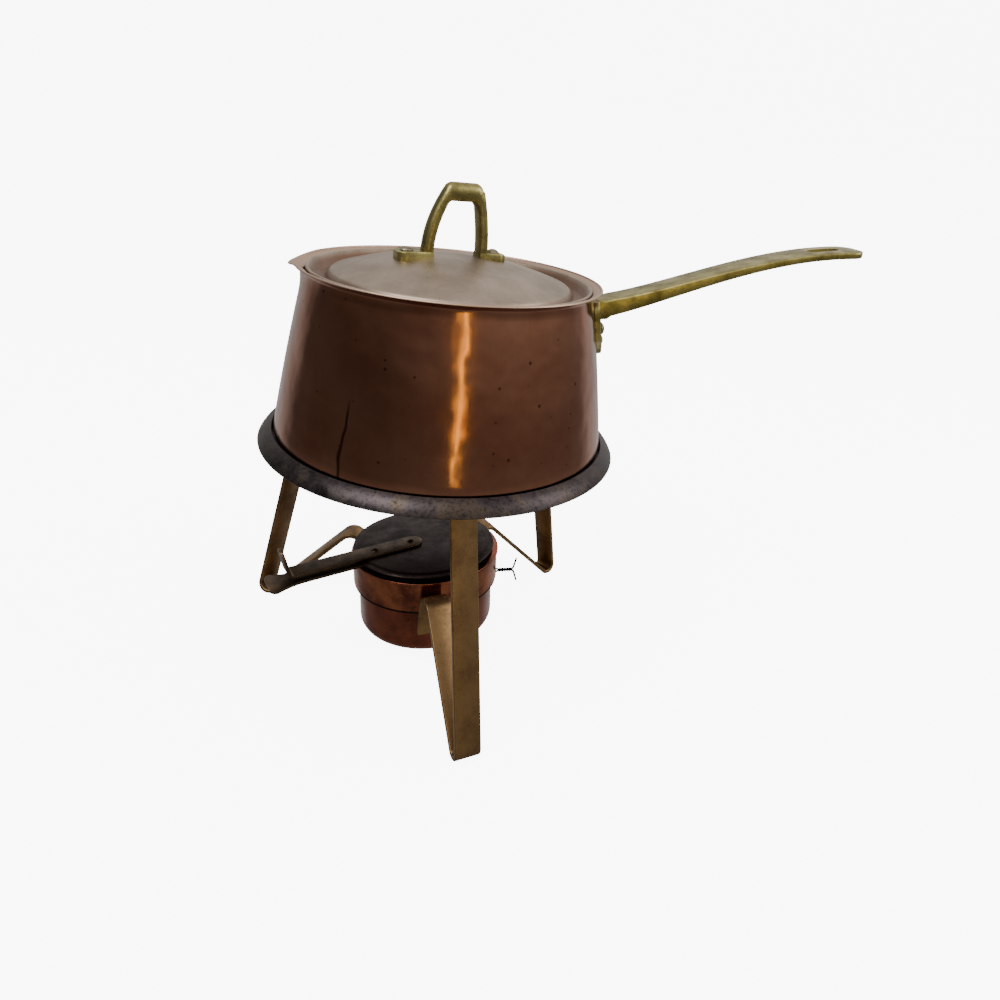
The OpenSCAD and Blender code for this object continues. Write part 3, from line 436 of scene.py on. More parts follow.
# Tie wire
# One length of black iron wire, passed round the burner just under the hoop and twisted at the side.
# Its two cut ends splay apart. Curve nodes draw it along the source's route, with the twist closed up.
wire_thick, wire_turns, wire_pitch, wire_azimuth = 1.2, 3, 3.0, math.radians(3)
wire_end, wire_splay = 6.0, math.radians(16)
wire_radius, twist_radius, wire_high = hoop_radius - hoop_thick / 2, 0.63, hoop_low - wire_thick / 2 - 0.05
twist_from = wire_radius + 2.2
strands = []
for phase in (90, 270):
    turns = [math.radians(45 * i + phase - 360 * wire_turns) for i in range(8 * wire_turns + 1)]
    strands.append([Vector((twist_from + wire_pitch * i / 8, twist_radius * math.cos(a),
                            twist_radius * math.sin(a)))
                    for i, a in enumerate(turns)])
splays = []
for side in (1, -1):
    root = Vector((twist_from + wire_turns * wire_pitch + 0.9, side * 0.4, side * 1.7))
    splays.append((root + wire_end * Vector((math.sin(wire_splay), 0, side * math.cos(wire_splay))), root))
turns = [math.radians(5 + 350 * i / 24) for i in range(25)]
loop = [Vector((wire_radius * math.cos(a), wire_radius * math.sin(a), 0)) for a in turns]
route = ([*splays[0]] + strands[0][::-1] + [Vector((wire_radius + 0.9, 1.4, 0.2))] + loop
         + [Vector((wire_radius + 0.9, -1.4, -0.2))] + strands[1] + [splays[1][1], splays[1][0]])
route = hung([Matrix.Rotation(wire_azimuth, 4, "Z") @ p + Vector((0, 0, wire_high)) for p in route])
wire_curve = bpy.data.curves.new("tie_wire_route", "CURVE")
wire_curve.dimensions = "3D"
spline = wire_curve.splines.new("POLY")
spline.points.add(len(route) - 1)
for point, at in zip(spline.points, route):
    point.co = (*(at * MM), 1)
wire_nodes, given = new_nodes("wire along a route",
                              {"Route": "Geometry", "Radius": "Float", "Metal": "Material"}, "Wire")
smooth = add(wire_nodes, "GeometryNodeCurveSplineType", {"spline_type": "CATMULL_ROM"},
             {"Curve": given.outputs["Route"]})
fine = add(wire_nodes, "GeometryNodeSetSplineResolution", {"Resolution": 3}, {"Geometry": smooth})
section = add(wire_nodes, "GeometryNodeCurvePrimitiveCircle", {"Resolution": 10},
              {"Radius": given.outputs["Radius"]})
tube = add(wire_nodes, "GeometryNodeCurveToMesh", {"Fill Caps": True},
           {"Curve": fine, "Profile Curve": section})
end_nodes(wire_nodes, tube, given.outputs["Metal"], "Wire")
# Black annealed iron: a dull grey-black scale with brown rust specks.
black_iron = worn_metal("black annealed iron wire", "#171514", "#0b0a0a", "#2a2624",
                        3, 0.4, 0.42, 0.6, 0.02, 0.2)
wire_line = bpy.data.objects.new("wire_line", wire_curve)
link(wire_line)
wire_mesh = run_nodes(wire_line, wire_nodes, {"Radius": wire_thick / 2 * MM, "Metal": black_iron})
wire = bpy.data.objects.new("twisted_tie_wire", wire_mesh)
link(wire)
bpy.data.objects.remove(wire_line)
finish(wire, black_iron, 60)
fit(wire, "stand", "tie_wire")

# Pot shell
# Saucepan spun from copper sheet, narrower at its neck than at its base, with a flared, rounded lip.
# The lip is drawn out into a pouring lip that dips a little. The pot stands on the ring by its own weight.
pot_low, pot_height, pot_wall = 133.6, 93.2, 1.6
base_radius, neck_radius, lip_radius, lip_height, base_corner, wall_swell = 91.8, 77.2, 81.8, 3.5, 6.0, 0.6
neck_high, lip_power = pot_height - lip_height, 1.7
spout_reach, spout_height, spout_dip, spout_half = 4.0, 14.0, 2.5, math.radians(20)
run_turn, run_high = math.radians(-149.8), 178.0


def pot_radius(high):
    """Outer radius of the wall at a height above the pot's base."""
    share = (high - base_corner) / (neck_high - base_corner)
    return base_radius + (neck_radius - base_radius) * share + 4 * wall_swell * share * (1 - share)


def lip_curve(share):
    return neck_radius + (lip_radius - neck_radius) * share ** lip_power


def outer_radius(high):
    """Outer radius of the wall or the lip at a height above the pot's base."""
    if high < neck_high:
        return pot_radius(high)
    return lip_curve((high - neck_high) / lip_height) if high < pot_height else lip_radius


wall_heights = [base_corner + (neck_high - base_corner) * i / 20 for i in range(1, 21)]
lip_shares = [i / 10 for i in range(1, 11)]
corner_middle = (base_radius - base_corner, base_corner)
edge_middle = (lip_radius - pot_wall / 2, pot_height - 0.2)
pot_profile = ([(0, 0), (40, 0)] + arc(corner_middle, base_corner, -90, 0, 8)
               + [(pot_radius(h), h) for h in wall_heights]
               + [(lip_curve(s), neck_high + lip_height * s) for s in lip_shares[:-1]]
               + arc(edge_middle, pot_wall / 2, 0, 180, 8)
               + [(lip_curve(s) - pot_wall, neck_high + lip_height * s) for s in lip_shares[-2::-1]]
               + [(pot_radius(h) - pot_wall, h) for h in wall_heights[::-1]]
               + arc(corner_middle, base_corner - pot_wall, 0, -90, 8) + [(40, pot_wall), (0, pot_wall)])
verts, faces = lathe(pot_profile, 320)
drawn, scoured = [], []
for x, y, z in verts:
    within = z > pot_wall / 2 and math.hypot(x, y) < outer_radius(z) - pot_wall / 2
    scoured.append(1.0 if within or z > pot_height - 0.6 else 0.0)
    off = math.atan2(y, -x)
    share = max(0.0, min(1.0, (z - pot_height + spout_height) / spout_height))
    at_spout = abs(off) < spout_half and z > pot_height - spout_height
    pull = (1 - (off / spout_half) ** 2) ** 2 if at_spout else 0.0
    out = 1 + spout_reach * pull * share ** 1.6 / max(math.hypot(x, y), 1)
    drawn.append((x * out, y * out, pot_low + z - spout_dip * pull * share ** 2))
# Brown copper: a spun and hand-brushed skin that has toned to red brown, with fine upright brush lines,
# dark specks and one dark run. The inside and the lip's edge are scoured to the dull pink of the lid.
# The brush lines are drawn 0.6 mm wide, coarser than the real ones.
brown_copper, tree, shader, place = new_material("toned brown copper", 1)
parts = add(tree, "ShaderNodeSeparateXYZ", links={"Vector": place})
flat = add(tree, "ShaderNodeCombineXYZ", links={"X": parts.outputs["X"], "Y": parts.outputs["Y"]})
rim = add(tree, "ShaderNodeVectorMath", {"operation": "NORMALIZE"}, {0: flat})
girth = add(tree, "ShaderNodeVectorMath", {"operation": "SCALE", "Scale": 85 * MM}, {0: rim})
rise = add(tree, "ShaderNodeMath", {"operation": "MULTIPLY", 1: 0.03}, {0: parts.outputs["Z"]})
upright = add(tree, "ShaderNodeCombineXYZ", links={"Z": rise})
brushed = add(tree, "ShaderNodeVectorMath", {"operation": "ADD"}, {0: girth, 1: upright})
lines = add(tree, "ShaderNodeTexNoise", {"Scale": 1 / (0.6 * MM), "Detail": 4, "Roughness": 0.6},
            {"Vector": brushed})
toning = add(tree, "ShaderNodeTexNoise", {"Scale": 1 / (34 * MM), "Detail": 5, "Roughness": 0.6},
             {"Vector": place})
tone = add(tree, "ShaderNodeMapRange", {"From Min": 0.3, "From Max": 0.7}, {"Value": toning})
toned = add(tree, "ShaderNodeMix", {"data_type": "RGBA", 6: linear("#8f5b45"), 7: linear("#a4735b")},
            {0: tone})
line_share = add(tree, "ShaderNodeMapRange",
                 {"From Min": 0.35, "From Max": 0.65, "To Min": 0.0, "To Max": 0.12}, {"Value": lines})
lined = add(tree, "ShaderNodeMix", {"data_type": "RGBA", 7: linear("#744634")}, {0: line_share, 6: toned})
spots = add(tree, "ShaderNodeTexVoronoi", {"Scale": 1 / (6.5 * MM), "Randomness": 1}, {"Vector": place})
spot_kind = add(tree, "ShaderNodeSeparateColor", links={"Color": spots.outputs["Color"]})
spot_size = add(tree, "ShaderNodeMapRange", {"From Min": 0.15, "From Max": 1, "To Min": 0.0, "To Max": 0.16},
                {"Value": spot_kind.outputs["Red"]})
spot_edge = add(tree, "ShaderNodeMath", {"operation": "SUBTRACT"},
                {0: spot_size, 1: spots.outputs["Distance"]})
spot_share = add(tree, "ShaderNodeMapRange", {"From Min": 0.0, "From Max": 0.05, "To Max": 0.75},
                 {"Value": spot_edge})
spotted = add(tree, "ShaderNodeMix", {"data_type": "RGBA", 7: linear("#3a2018")}, {0: spot_share, 6: lined})
shade = add(tree, "ShaderNodeMapRange", {"From Min": 0.3, "From Max": 0.7, "To Min": 0.12, "To Max": 0.19},
            {"Value": lines})
waves = add(tree, "ShaderNodeTexNoise", {"Scale": 1 / (26 * MM), "Detail": 2}, {"Vector": place})
wave_bump = add(tree, "ShaderNodeBump", {"Strength": 0.6, "Distance": 1.5 * MM}, {"Height": waves})
line_bump = add(tree, "ShaderNodeBump", {"Strength": 0.25, "Distance": 0.02 * MM},
                {"Height": lines, "Normal": wave_bump})
around = add(tree, "ShaderNodeMath", {"operation": "ARCTAN2"}, {0: parts.outputs["X"], 1: parts.outputs["Y"]})
run_wander = add(tree, "ShaderNodeMapRange",
                 {"From Min": 0.3, "From Max": 0.7, "To Min": run_turn - 0.02, "To Max": run_turn + 0.02},
                 {"Value": waves})
run_off = add(tree, "ShaderNodeMath", {"operation": "SUBTRACT"}, {0: around, 1: run_wander})
run_far = add(tree, "ShaderNodeMath", {"operation": "ABSOLUTE"}, {0: run_off})
run_wide = add(tree, "ShaderNodeMapRange",
               {"From Min": 0.004, "From Max": 0.012, "To Min": 0.85, "To Max": 0.0}, {"Value": run_far})
run_tall = add(tree, "ShaderNodeMapRange", {"From Min": run_high * MM, "From Max": (run_high - 8) * MM},
               {"Value": parts.outputs["Z"]})
run_share = add(tree, "ShaderNodeMath", {"operation": "MULTIPLY"}, {0: run_wide, 1: run_tall})
streaked = add(tree, "ShaderNodeMix", {"data_type": "RGBA", 7: linear("#3a2018")}, {0: run_share, 6: spotted})
bare = add(tree, "ShaderNodeAttribute", {"attribute_name": "scoured"}).outputs["Fac"]
coloured = add(tree, "ShaderNodeMix", {"data_type": "RGBA", 7: linear("#b89d89")}, {0: bare, 6: streaked})
dulled = add(tree, "ShaderNodeMix", {"data_type": "FLOAT", 3: 0.45}, {0: bare, 2: shade})
connect(tree, shader, {"Base Color": coloured, "Roughness": dulled, "Normal": line_bump})
pot = build("spun_pot", drawn, faces)
pot.data.attributes.new("scoured", "FLOAT", "POINT").data.foreach_set("value", scoured)
finish(pot, brown_copper, 60)
fit(pot, "pot", "pot_shell")

# Pot handle
# Cast brass handle, filed flat on top, that rises from a riveted plate and flares to a thin rounded end
# with a hanging slot. The plate is part of the casting: it leans with the wall and is bent to its curve.
handle_reach, handle_rise, handle_turn, handle_power = 224.0, 44.5, math.radians(83), 1.25
handle_width, handle_end_width, handle_thick, handle_end_thick = 19.5, 28.0, 10.5, 3.6
slot_length, slot_width, slot_inset, end_corner = 17.5, 9.0, 11.0, 9.0
plate_width, plate_height, plate_thick, plate_foot, plate_gap = 34.0, 32.0, 3.0, 8.0, 0.1
plate_corner, plate_down, root_down = 5, 6.8, 11.8
root_high = pot_low + pot_height - root_down
root_x = pot_radius(root_high - pot_low)
plate_middle = pot_height - plate_down - plate_height / 2
wall_lean = math.atan((pot_radius(plate_middle - 2) - pot_radius(plate_middle + 2)) / 4)
at_plate = Matrix.Translation((pot_radius(plate_middle), 0, pot_low + plate_middle)) @ Matrix((
    (0, -math.sin(wall_lean), math.cos(wall_lean), 0), (1, 0, 0, 0),
    (0, math.cos(wall_lean), math.sin(wall_lean), 0), (0, 0, 0, 1)))


def on_wall(point):
    """Point drawn on the flat plate, moved back as far as the wall curves away there."""
    return Vector((point[0], point[1], point[2] - point[0] ** 2 / (2 * pot_radius(plate_middle))))


def slab(outline, low, high, bevel):
    """Flat piece with its upper edge eased, from a loop; low and high give the height at a point."""
    middle = sum(outline, Vector((0, 0))) / len(outline)
    rings = []
    for inset, down in ((0, None), (0, bevel), (bevel * 0.3, bevel * 0.3), (bevel, 0)):
        ring = []
        for i, p in enumerate(outline):
            edge = (outline[(i + 1) % len(outline)] - outline[i - 1]).normalized()
            inward = Vector((-edge.y, edge.x))
            inward = inward if inward.dot(middle - p) > 0 else -inward
            q = p + inward * inset
            ring.append(Vector((q.x, q.y, low(q) if down is None else high(q) - down)))
        rings.append(ring)
    return loft(rings)


def joined(name, tool, first, kind):
    """Boolean of two pieces as one plain mesh; the second piece is used up."""
    cut = first.modifiers.new("join", "BOOLEAN")
    cut.operation, cut.solver, cut.object = kind, "EXACT", tool
    made = bpy.data.meshes.new_from_object(first.evaluated_get(bpy.context.evaluated_depsgraph_get()))
    first.modifiers.clear()
    first.data = made
    first.name = name
    bpy.data.objects.remove(tool)
    return first


rings = []
handle_long = handle_reach - root_x
stations = [i / 48 for i in range(49) if root_x + handle_long * i / 48 < handle_reach - end_corner - 1]
stations += [1 - (end_corner / handle_long) * (1 - math.sin(math.radians(a))) for a in range(0, 90, 10)]
stations += [1 - 0.12 / handle_long, 1]
for s in stations:
    x = root_x + handle_long * s
    middle = root_high + handle_rise * (math.sin(handle_turn * s) / math.sin(handle_turn)) ** handle_power
    thick = handle_end_thick + (handle_thick - handle_end_thick) * (1 - s) ** 2.2
    half = (handle_width + (handle_end_width - handle_width) * s ** 1.1) / 2
    past = x - (handle_reach - end_corner)
    if past > 0:
        half = min(half, handle_end_width / 2 - end_corner + math.sqrt(max(end_corner ** 2 - past ** 2, 0)))
    if s == 1:
        thick, half = thick - 0.9, half - 0.4
    rings.append([Vector((x, v.x, middle + v.y))
                  for v in soft_rectangle(2 * half, thick, min(1.1, thick * 0.38))])
plane = at_plate @ Vector((0, 0, plate_gap + 1))
for i in range(2):
    rings[i] = [Vector((plane.x - (v.z - plane.z) * math.tan(wall_lean) + 5 * i, v.y, v.z)) for v in rings[i]]
rings = rings[:2] + [ring for ring in rings[2:] if ring[0].x > rings[1][0].x + 1]
handle = build("cast_handle", *loft(rings))
slot_middle = handle_reach - slot_inset - slot_length / 2
slot_loop = (arc((slot_middle + (slot_length - slot_width) / 2, 0), slot_width / 2, -90, 90, 16)
             + arc((slot_middle - (slot_length - slot_width) / 2, 0), slot_width / 2, 90, 270, 16))
slot_heights = (root_high + 20, root_high + 70)
slot = build("slot", *loft([[Vector((p.x, p.y, z)) for p in slot_loop] for z in slot_heights]))
handle = joined("cast_handle", slot, handle, "DIFFERENCE")
wide, high = plate_width / 2, plate_height / 2
plate_loop = (arc((wide - plate_corner, high - plate_corner), plate_corner, 0, 90, 6)
              + arc((plate_corner - wide, high - plate_corner), plate_corner, 90, 180, 6)
              + [Vector((-wide, -high / 4 + 1)), Vector((-wide + 0.4, -high / 4 - 0.8))]
              + arc((0, plate_foot - high), plate_foot, 212, 328, 12)
              + [Vector((wide - 0.4, -high / 4 - 0.8)), Vector((wide, -high / 4 + 1))])
verts, faces = slab(plate_loop, lambda p: plate_gap, lambda p: plate_gap + plate_thick, 0.7)
plate = build("plate", verts, faces)
work = bmesh.new()
work.from_mesh(plate.data)
for strip in range(-15, 16, 3):
    bmesh.ops.bisect_plane(work, geom=work.verts[:] + work.edges[:] + work.faces[:], dist=1e-6,
                           plane_co=(strip * MM, 0, 0), plane_no=(1, 0, 0))
for v in work.verts:
    v.co = at_plate @ on_wall(v.co / MM) * MM
work.to_mesh(plate.data)
work.free()
handle = joined("cast_handle", plate, handle, "UNION")
# Cast brass: greenish yellow and dull, pitted by the sand mould, with dark specks in the pits
# and the filed edges rubbed bright.
cast_brass = worn_metal("cast brass", "#8b8148", "#6f6638", "#d2c47e", 12, 0.8, 0.3, 0.48, 0.09, 1.0)
finish(handle, cast_brass, 32)
fit(handle, "pot", "pot_handle")

# Handle rivets
# Three bronze rivets through the plate and the pot's wall, two under the handle's root and one at the
# plate's foot. Their round heads, outside, are duller and greyer than the brass.
dull_rivet = worn_metal("dull rivet bronze", "#a39a80", "#6f664f", "#d0c8b0", 4, 0.6, 0.34, 0.5, 0.03, 0.7)
root_low = root_high - handle_thick / 2 - pot_low - plate_middle
upper = root_low - rivet_head - 1.2
rivet_spots = [(-handle_width / 2, upper), (handle_width / 2, upper), (0, plate_foot - plate_height / 2)]
outward = at_plate.to_3x3() @ Vector((0, 0, 1))
rivet_places = [(at_plate @ on_wall((u, v, plate_gap + plate_thick)), outward) for u, v in rivet_spots]
handle_rivets = set_rivets("handle_rivet_set", rivet_places, rivet_shank, rivet_head,
                           plate_thick + plate_gap + pot_wall, dull_rivet)
fit(handle_rivets, "pot", "pot_handle_rivets")

# Lid
# Low dome pressed from copper sheet, with a short step, a gutter round it and an edge that sits on the
# flared lip. It lifts straight off: nothing hinges it.
lid_thick, lid_edge, lid_lap, lid_ease = 1.4, 1.4, 0.5, 0.35
lid_radius = neck_radius - pot_wall + lid_lap
dome_radius, dome_step, step_run, dome_height, gutter_drop = 64.0, 4.4, 2.2, 11.3, 6.0
lid_seat = ((lid_lap + lid_ease) / (lip_radius - neck_radius)) ** (1 / lip_power)
lid_low = pot_low + neck_high + lip_height * lid_seat
gutter_low = lid_low - gutter_drop
gutter_start = dome_radius + step_run
gutter_end = gutter_start + 0.6 * (lid_radius - lid_edge - gutter_start)
dome_ball = (dome_radius ** 2 + dome_height ** 2) / (2 * dome_height)
dome_top = gutter_low + lid_thick + dome_step + dome_height


def dome_high(radius):
    return dome_top - dome_ball + math.sqrt(dome_ball ** 2 - radius ** 2)


def lid_side(drop):
    gutter, edge = gutter_low + lid_thick - drop, lid_low + lid_thick - drop
    return ([(dome_radius * i / 30, dome_high(dome_radius * i / 30) - drop) for i in range(30)]
            + [(dome_radius - 0.6, gutter + dome_step + 0.2), (dome_radius + 0.4, gutter + dome_step - 0.7),
               (gutter_start - 0.5, gutter + 1.0), (gutter_start + 0.2, gutter + 0.3),
               (gutter_start + 1.2, gutter),
               (gutter_end - 0.8, gutter), (gutter_end + 0.4, gutter + 0.7),
               (lid_radius - lid_edge - 0.5, edge - 0.7), (lid_radius - lid_edge + 0.4, edge)])


lid_profile = (lid_side(0)
               + [(lid_radius - lid_ease, lid_low + lid_thick), (lid_radius, lid_low + lid_thick - lid_ease),
                  (lid_radius, lid_low + lid_ease), (lid_radius - lid_ease, lid_low)]
               + lid_side(lid_thick)[::-1])
# Satin copper: pinkish and dull, finely scoured, with faint cloudy stains.
# The gutter round the dome is mixed towards dark brown as painted shade.
satin_copper = worn_metal("satin copper", "#ab9a8a", "#918272", "#c8b7a6", 30, 0.7, 0.38, 0.48, 0.02, 0.4)
tree = satin_copper.node_tree
shader = tree.nodes["Principled BSDF"]
scoured_tone = shader.inputs["Base Color"].links[0].from_socket
place = add(tree, "ShaderNodeTexCoord").outputs["Object"]
level = add(tree, "ShaderNodeVectorMath", {"operation": "MULTIPLY", 1: (1, 1, 0)}, {0: place})
far = add(tree, "ShaderNodeVectorMath", {"operation": "LENGTH"}, {0: level})
# Painted shade: from the dome's foot to near the edge, the gutter's colour is mixed towards dark brown.
past_dome = add(tree, "ShaderNodeMapRange",
                {"From Min": (dome_radius - 0.3) * MM, "From Max": (dome_radius + 2) * MM, "To Max": 0.8},
                {"Value": far})
short_of_edge = add(tree, "ShaderNodeMapRange",
                    {"From Min": (lid_radius - 1.2) * MM, "From Max": (lid_radius - 3) * MM},
                    {"Value": far})
gutter_painted_shade = add(tree, "ShaderNodeMath", {"operation": "MULTIPLY"}, {0: past_dome, 1: short_of_edge})
lid_tone_with_painted_shade = add(tree, "ShaderNodeMix", {"data_type": "RGBA", 7: linear("#6b4938")},
               {0: gutter_painted_shade, 6: scoured_tone})
connect(tree, shader, {"Base Color": lid_tone_with_painted_shade})
lid = finish(build("domed_lid", *lathe(lid_profile, 256)), satin_copper)
fit(lid, "lid", "lid_dome")

# Lid handle
# Cast brass bail: two bowed legs that lean in to a thick top bar, round outside and flat inside.
# It stands on two riveted feet. The bar sits off the middle, sharp-cornered on one side only.
bail_height, bail_top_width, bail_leg_width, bail_span = 38.0, 19.6, 38.4, 62.0
bail_bar, bail_leg, bail_depth, bail_lean, bail_foot_depth, bail_foot_thick = 9.6, 5.7, 9.0, 3.7, 15.0, 4.2
bail_shift, bail_round, bail_foot_corner, bail_azimuth = 2.0, 4, 5, math.radians(25.5)
lid_turn = Matrix.Rotation(bail_azimuth, 4, "Z")


def bail_point(side, inset, high):
    """Point of the bail's outline at a height above the dome, on one side."""
    share = max(high / bail_height, 0)
    half = (bail_leg_width - (bail_leg_width - bail_top_width) * share ** 2) / 2
    return Vector((bail_lean * share ** 2 + side * (half - inset), high))


under = bail_height - bail_bar
outer = [bail_point(-1, 0, -1 + (bail_height - 1.2 + 1) * i / 14) for i in range(15)]
inner = [bail_point(-1, bail_leg, -1 + (under - 1.0 + 1) * i / 14) for i in range(15)]
corner_left, corner_right = bail_point(-1, 0, bail_height), bail_point(1, 0, bail_height)
inner_left, inner_right = bail_point(-1, bail_leg, under), bail_point(1, bail_leg, under)
outer.append(corner_left + Vector((1.0, -0.1)))
inner.append(inner_left + Vector((0.9, 0)))
for i in range(1, 5):
    outer.append((corner_left + Vector((1.5, 0))).lerp(corner_right + Vector((-bail_round, 0)), i / 4))
    inner.append((inner_left + Vector((1.5, 0))).lerp(inner_right + Vector((-2.0, 0)), i / 4))
outer += arc((corner_right.x - bail_round, bail_height - bail_round), bail_round, 75, 15, 4)
inner += [inner_right + Vector((-1.6 + 0.4 * i, -0.05 - 0.25 * i * i * 0.4)) for i in range(5)]
outer += [bail_point(1, 0, bail_height - 4.2 - (bail_height - 4.2 + 1) * i / 12) for i in range(13)]
inner += [bail_point(1, bail_leg, under - 1.9 - (under - 1.9 + 1) * i / 12) for i in range(13)]
# Share of the thickness from inside to outside, and share of the half depth
half_section = [(0.06, 0.9), (0.16, 1.0), (0.45, 1.0), (0.66, 0.93), (0.84, 0.74), (0.95, 0.45)]
bail_section = ([(0.0, -0.72), (0.0, 0.72)] + half_section + [(1.0, 0.0)]
                + [(n, -d) for n, d in half_section[::-1]])
rings = []
for a, b in zip(inner, outer):
    loop = [(a.lerp(b, n), d * bail_depth / 2) for n, d in bail_section]
    rings.append([Vector((p.x, off, dome_top + p.y)) for p, off in loop])
bail = build("lid_bail", *loft(rings))
lid_rivet_out = (bail_span + bail_leg_width) / 4
foot_high = dome_high(lid_rivet_out) + bail_foot_thick
for side in (-1, 1):
    near, far = bail_leg_width / 2 - bail_leg, bail_span / 2 - side * bail_shift
    spot = lid_rivet_out - side * bail_shift
    end, deep = far - bail_foot_corner, bail_foot_depth / 2 - bail_foot_corner
    foot_loop = ([Vector((near, -bail_depth / 2))] + arc((end, -deep), bail_foot_corner, -90, 0, 6)
                 + arc((end, deep), bail_foot_corner, 0, 90, 6) + [Vector((near, bail_depth / 2))])
    verts, faces = slab(foot_loop, lambda p: dome_high(p.length) + 0.05,
                        lambda p: foot_high - 0.09 * max(p.x - spot, 0) - 0.03 * abs(p.x - spot), 0.8)
    foot = build("bail_foot", [(side * v[0], v[1], v[2]) for v in verts], faces)
    bail = joined("lid_bail", foot, bail, "UNION")
bail.data.transform(lid_turn)
# Tarnished cast brass: the handle's metal, but less handled, so it is dark olive with brighter edges.
dark_brass = worn_metal("tarnished cast brass", "#6c643b", "#575030", "#bdb070",
                        12, 0.8, 0.32, 0.5, 0.08, 1.0)
finish(bail, dark_brass, 38)
fit(bail, "lid", "lid_handle")

# Lid rivets
# One bronze rivet in each foot of the bail, through the foot and the lid's sheet.
# It has a grey round head above and a flush end under the lid.
lid_rivet_places = [(lid_turn @ Vector((side * lid_rivet_out - bail_shift, 0, foot_high - 0.1)), (0, 0, 1))
                    for side in (-1, 1)]
lid_rivets = set_rivets("lid_rivet_set", lid_rivet_places, rivet_shank, rivet_head,
                        bail_foot_thick + lid_thick - 0.1, dull_rivet)
fit(lid_rivets, "lid", "lid_rivets")

# Burner can
# Drawn copper cup with a rounded base, polished outside.
# It hangs on the hoop by its turned-out flange.
can_radius, can_wall, can_low, can_corner, flange_thick, solder = 40.6, 1.0, 8.0, 7.0, 1.0, 0.02
flange_low, flange_radius = hoop_high + 0.1, hoop_radius + 0.8
brim_low = flange_low + flange_thick
can_middle = (can_radius - can_corner, can_low + can_corner)
can_profile = ([(0, can_low), (20, can_low)] + arc(can_middle, can_corner, -90, 0, 10)
               + [(can_radius, flange_low - 0.4), (can_radius + 0.4, flange_low),
                  (flange_radius - 0.3, flange_low),
                  (flange_radius, flange_low + 0.3), (flange_radius, brim_low - solder),
                  (can_radius - can_wall, brim_low - solder)]
               + arc(can_middle, can_corner - can_wall, 0, -90, 8)
               + [(20, can_low + can_wall), (0, can_low + can_wall)])
verts, faces = lathe(can_profile, 192)
can = finish(build("drawn_can", hung(verts), faces), red_copper)
fit(can, "burner", "burner_can")

# Burner top
# Pressed copper plate with a raised mouth, soldered on the can's flange.
# The snuffer lies on its rim.
top_thick, rim_rise, mouth_radius, rim_radius = 0.9, 2.1, 27.0, 32.0
grip_low = brim_low + top_thick
rim_high = grip_low + rim_rise
gauze_radius = rim_radius - 3
under_rim = rim_high - top_thick
top_profile = ([(flange_radius, brim_low), (flange_radius, grip_low - 0.5)]
               + arc((flange_radius - 0.5, grip_low - 0.5), 0.5, 20, 90, 4)
               + [(rim_radius + 0.5, grip_low), (rim_radius, grip_low + 0.15),
                  (gauze_radius + 1.2, rim_high - 0.4), (gauze_radius + 0.4, rim_high),
                  (mouth_radius + 0.4, rim_high), (mouth_radius, rim_high - 0.4), (mouth_radius, under_rim),
                  (gauze_radius + 0.4, under_rim), (gauze_radius, under_rim - 0.4),
                  (rim_radius - top_thick - 0.4, brim_low)])
verts, faces = lathe(top_profile, 192, True)
burner_top = finish(build("pressed_top", hung(verts), faces), red_copper)
fit(burner_top, "burner", "burner_top")

# Burner gauze
# Perforated steel disc pressed up under the mouth, dulled grey by soot.
# The solid of the part's source already has its holes, so it stays and only gets its metal.
gauze_steel = worn_metal("sooted steel gauze", "#8d8884", "#5a5552", "#b5b0aa", 7, 0.6, 0.36, 0.55, 0.02, 0.4)
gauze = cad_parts["burner_gauze"]
gauze.data.materials.clear()
gauze.data.materials.append(gauze_steel)

# Wick wadding
# Loose cotton wadding packed in the can, which soaks up the spirit and feeds the flame through the gauze.
# Its top is lumpy and its sides press on the can. It shows only with the burner apart.
wad_radius, wad_low, wad_high = can_radius - can_wall - 0.4, can_low + can_wall + 0.1, flange_low - 5.0
wad_corner = (wad_radius - can_corner, wad_low + can_corner)
wad_profile = ([(0, wad_low)] + [(wad_radius * i / 8 * 0.8, wad_low) for i in range(1, 8)]
               + arc(wad_corner, can_corner, -80, 0, 8)
               + [(wad_radius, wad_low + can_corner + (wad_high - 3 - wad_low - can_corner) * i / 10)
                  for i in range(1, 11)]
               + arc((wad_radius - 3, wad_high - 3), 3, 15, 90, 5)
               + [(wad_radius * i / 14, wad_high) for i in range(12, -1, -1)])
verts, faces = lathe(wad_profile, 120)
packed = []
for x, y, z in verts:
    lump = math.sin(x * 0.31 + 1.3) * math.sin(y * 0.27 + 0.4)
    lump += 0.6 * math.sin(x * 0.83 + z * 0.5) * math.sin(y * 0.71 - z * 0.4 + 2.0)
    press = 0.9 + 0.35 * (lump - 1.6)
    radius = max(math.hypot(x, y), 1e-6)
    side = (radius / wad_radius) ** 4 if wad_low + 1 < z else 0.0
    swell = 1 + 0.5 * press * side / wad_radius - 0.5 * side / wad_radius
    packed.append((x * swell, y * swell, z - (1.1 - 0.9 * lump if z > wad_high - 1.5 else 0.0)))
# Cotton wadding: off-white, matt and fibrous, with a nap of about 1 mm.
cotton, tree, shader, place = new_material("cotton wadding", 0)
shader.inputs["Sheen Weight"].default_value = 0.5
shader.inputs["Roughness"].default_value = 0.95
fibres = add(tree, "ShaderNodeTexNoise",
             {"Scale": 1 / (1.1 * MM), "Detail": 5, "Roughness": 0.75, "Distortion": 1.5}, {"Vector": place})
clumps = add(tree, "ShaderNodeTexNoise", {"Scale": 1 / (9 * MM), "Detail": 3}, {"Vector": place})
shaded = add(tree, "ShaderNodeMix", {"data_type": "RGBA", 6: linear("#cfc4ac"), 7: linear("#f0eadc")},
             {0: fibres})
stained = add(tree, "ShaderNodeMix", {"data_type": "RGBA", "blend_type": "MULTIPLY", 7: linear("#e0cfae")},
              {0: clumps, 6: shaded})
nap = add(tree, "ShaderNodeBump", {"Strength": 0.7, "Distance": 0.5 * MM}, {"Height": fibres})
connect(tree, shader, {"Base Color": stained, "Normal": nap})
